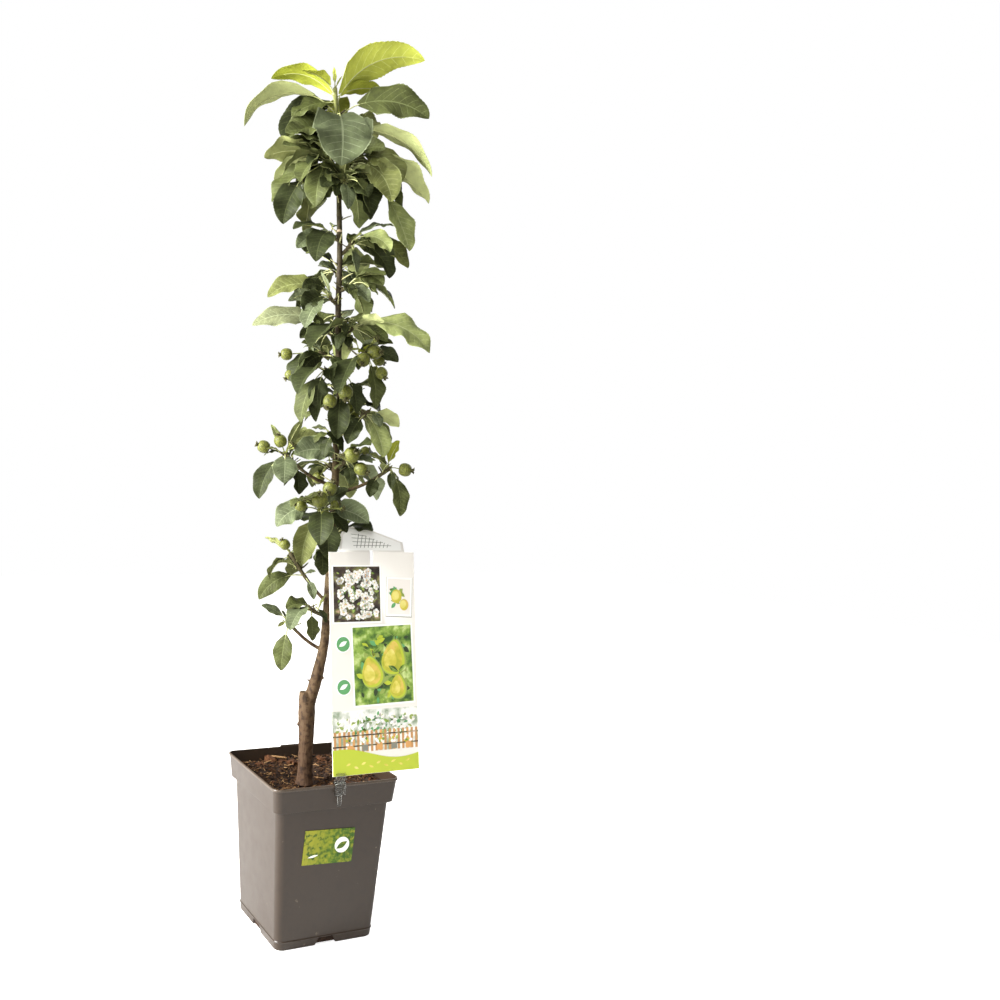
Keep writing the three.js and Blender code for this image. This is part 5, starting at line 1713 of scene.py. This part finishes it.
CLIP_PLACE = 0
CLIP_WIDTH = 15
CLIP_TONGUE_WIDTH = 6
CLIP_SKIN = 1.4
CLIP_BLOCK = 2.4
CLIP_BRIDGE = 3
CLIP_HOOK_REACH = 4.4
CLIP_TOP = 245
CLIP_HOOK_FOOT = 215
CLIP_TONGUE_FOOT = 200
CLIP_EDGE = 0.35


def clear_plastic():
    """Clear plastic, a little clouded where it has been handled."""
    optics = {"IOR": 1.35, "Transmission_Weight": 1, "Specular_IOR_Level": 0.3}
    clear = material("clear_plastic", "#e6e7e3", 0.05, **optics)
    feed(clear, "Roughness", spread(clear, grain(clear, 300, 3), 0.03, 0.09))
    return clear


def make_clip():
    outer, bridge = POT_SIDE / 2 + GAP, POT_HEIGHT + GAP
    inner = POT_SIDE / 2 - CLIP_HOOK_REACH
    front = LABEL_PLANE + LABEL_THICKNESS + GAP
    back = LABEL_PLANE - GAP - math.tan(math.radians(LABEL_TILT)) * (CLIP_TOP - LABEL_CORNER[1])
    # Block, tongue, bridge, hook and the two jaws, as (width, near, far, low, high).
    bodies = (
        (CLIP_WIDTH, outer, outer + CLIP_BLOCK, CLIP_HOOK_FOOT, bridge + CLIP_BRIDGE),
        (CLIP_TONGUE_WIDTH, outer, outer + CLIP_SKIN, CLIP_TONGUE_FOOT, CLIP_HOOK_FOOT + 1),
        (CLIP_WIDTH, inner - CLIP_SKIN, outer + CLIP_SKIN, bridge, bridge + CLIP_BRIDGE),
        (CLIP_WIDTH, inner - CLIP_SKIN, inner, CLIP_HOOK_FOOT, bridge + 1),
        (CLIP_WIDTH, front, front + CLIP_SKIN, bridge + 1, CLIP_TOP),
        (CLIP_WIDTH, back - CLIP_SKIN, back, bridge + 1, CLIP_TOP),
    )
    clip = Shape()
    for width, near, far, low, high in bodies:
        clip.block((CLIP_PLACE - width / 2, -far, low), (CLIP_PLACE + width / 2, -near, high))
    piece = clip.piece("clip", [clear_plastic()])
    soften(piece, CLIP_EDGE)
    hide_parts("label_clip")


make_clip()


# ------------------------------------------------------------------ sticker
# A printed paper sticker, stuck a little crooked on the pot's front wall. Its ground runs from lime to
# green in slanting bands, and it carries a white spot with a leaf in it and a small white stroke.

STICKER_WIDTH = 75
STICKER_HEIGHT = 48
STICKER_THICKNESS = 0.5
STICKER_CLEAR = 0.05
STICKER_PLACE = (-6.3, 140.5)
STICKER_TURN = -2.5
STICKER_BANDS = ("#8e9026", "#82891e", "#6e7d15", "#587210", "#47670d", "#3b5b0b")
STICKER_BLUR = ("#2c4c0b", "#8f9120")
STICKER_WHITE = "#eceee6"
BAND_SLANT = 5
# The marks, as (x, z, size ...) from the sticker's middle, and how far they are sunk in and raised.
SPOT = (20, 1, 11)
SPOT_LEAF = (12, -4, 18, 8, 0.55)
STROKE = (-30, -14, 16, 3, 0.2)
MARK_SUNK, MARK_RAISED = 0.1, 0.05


def sticker_papers():
    """A mottled paper for each band from lime to green, and a white one for the marks."""
    papers = []
    for k, colour in enumerate(STICKER_BANDS):
        papers.append(material(f"sticker_{k}", colour, 0.45, Specular_IOR_Level=0.3))
    papers.append(material("sticker_white", STICKER_WHITE, 0.4))
    mottle(papers[-1], STICKER_WHITE, 250, 0.03)
    deep, bright = STICKER_BLUR
    for paper, colour in zip(papers, STICKER_BANDS):
        stops = [(0.35, deep), (0.5, colour), (0.7, bright)]
        feed(paper, "Base Color", ramp(paper, grain(paper, 180, 5), stops))
    return papers


def make_sticker():
    sheet = Shape()
    bands = len(STICKER_BANDS)
    wide, tall, half = STICKER_WIDTH / bands, STICKER_HEIGHT / 2, STICKER_THICKNESS / 2
    for k in range(bands):
        low = STICKER_WIDTH * k / bands - STICKER_WIDTH / 2
        high = low + wide
        near = BAND_SLANT if k > 0 else 0
        far = BAND_SLANT if k < bands - 1 else 0
        band = [(low - near, -tall), (high - far, -tall), (high + far, tall), (low + near, tall)]
        sheet.prism(band, -half, half, k)
    front = -half
    white, green = bands, bands - 1
    sheet.prism(disc(*SPOT, 40), front - MARK_RAISED, front + MARK_SUNK, white)
    sheet.prism(leaf_mark(*SPOT_LEAF), front - 2 * MARK_RAISED, front, green)
    sheet.prism(leaf_mark(*STROKE), front - MARK_RAISED, front + MARK_SUNK, white)
    x, z = STICKER_PLACE
    wall = wall_side(z) / 2
    slope = math.atan2((POT_NECK_SIDE - POT_FOOT_SIDE) / 2, NECK)
    lay = Matrix.Translation((x, -(wall + half + GAP + STICKER_CLEAR), z))
    lay = lay @ Matrix.Rotation(slope, 4, "X") @ Matrix.Rotation(-math.radians(STICKER_TURN), 4, "Y")
    piece = sheet.piece("sticker", sticker_papers(), 40, lay)
    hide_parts("pot_sticker")


make_sticker()
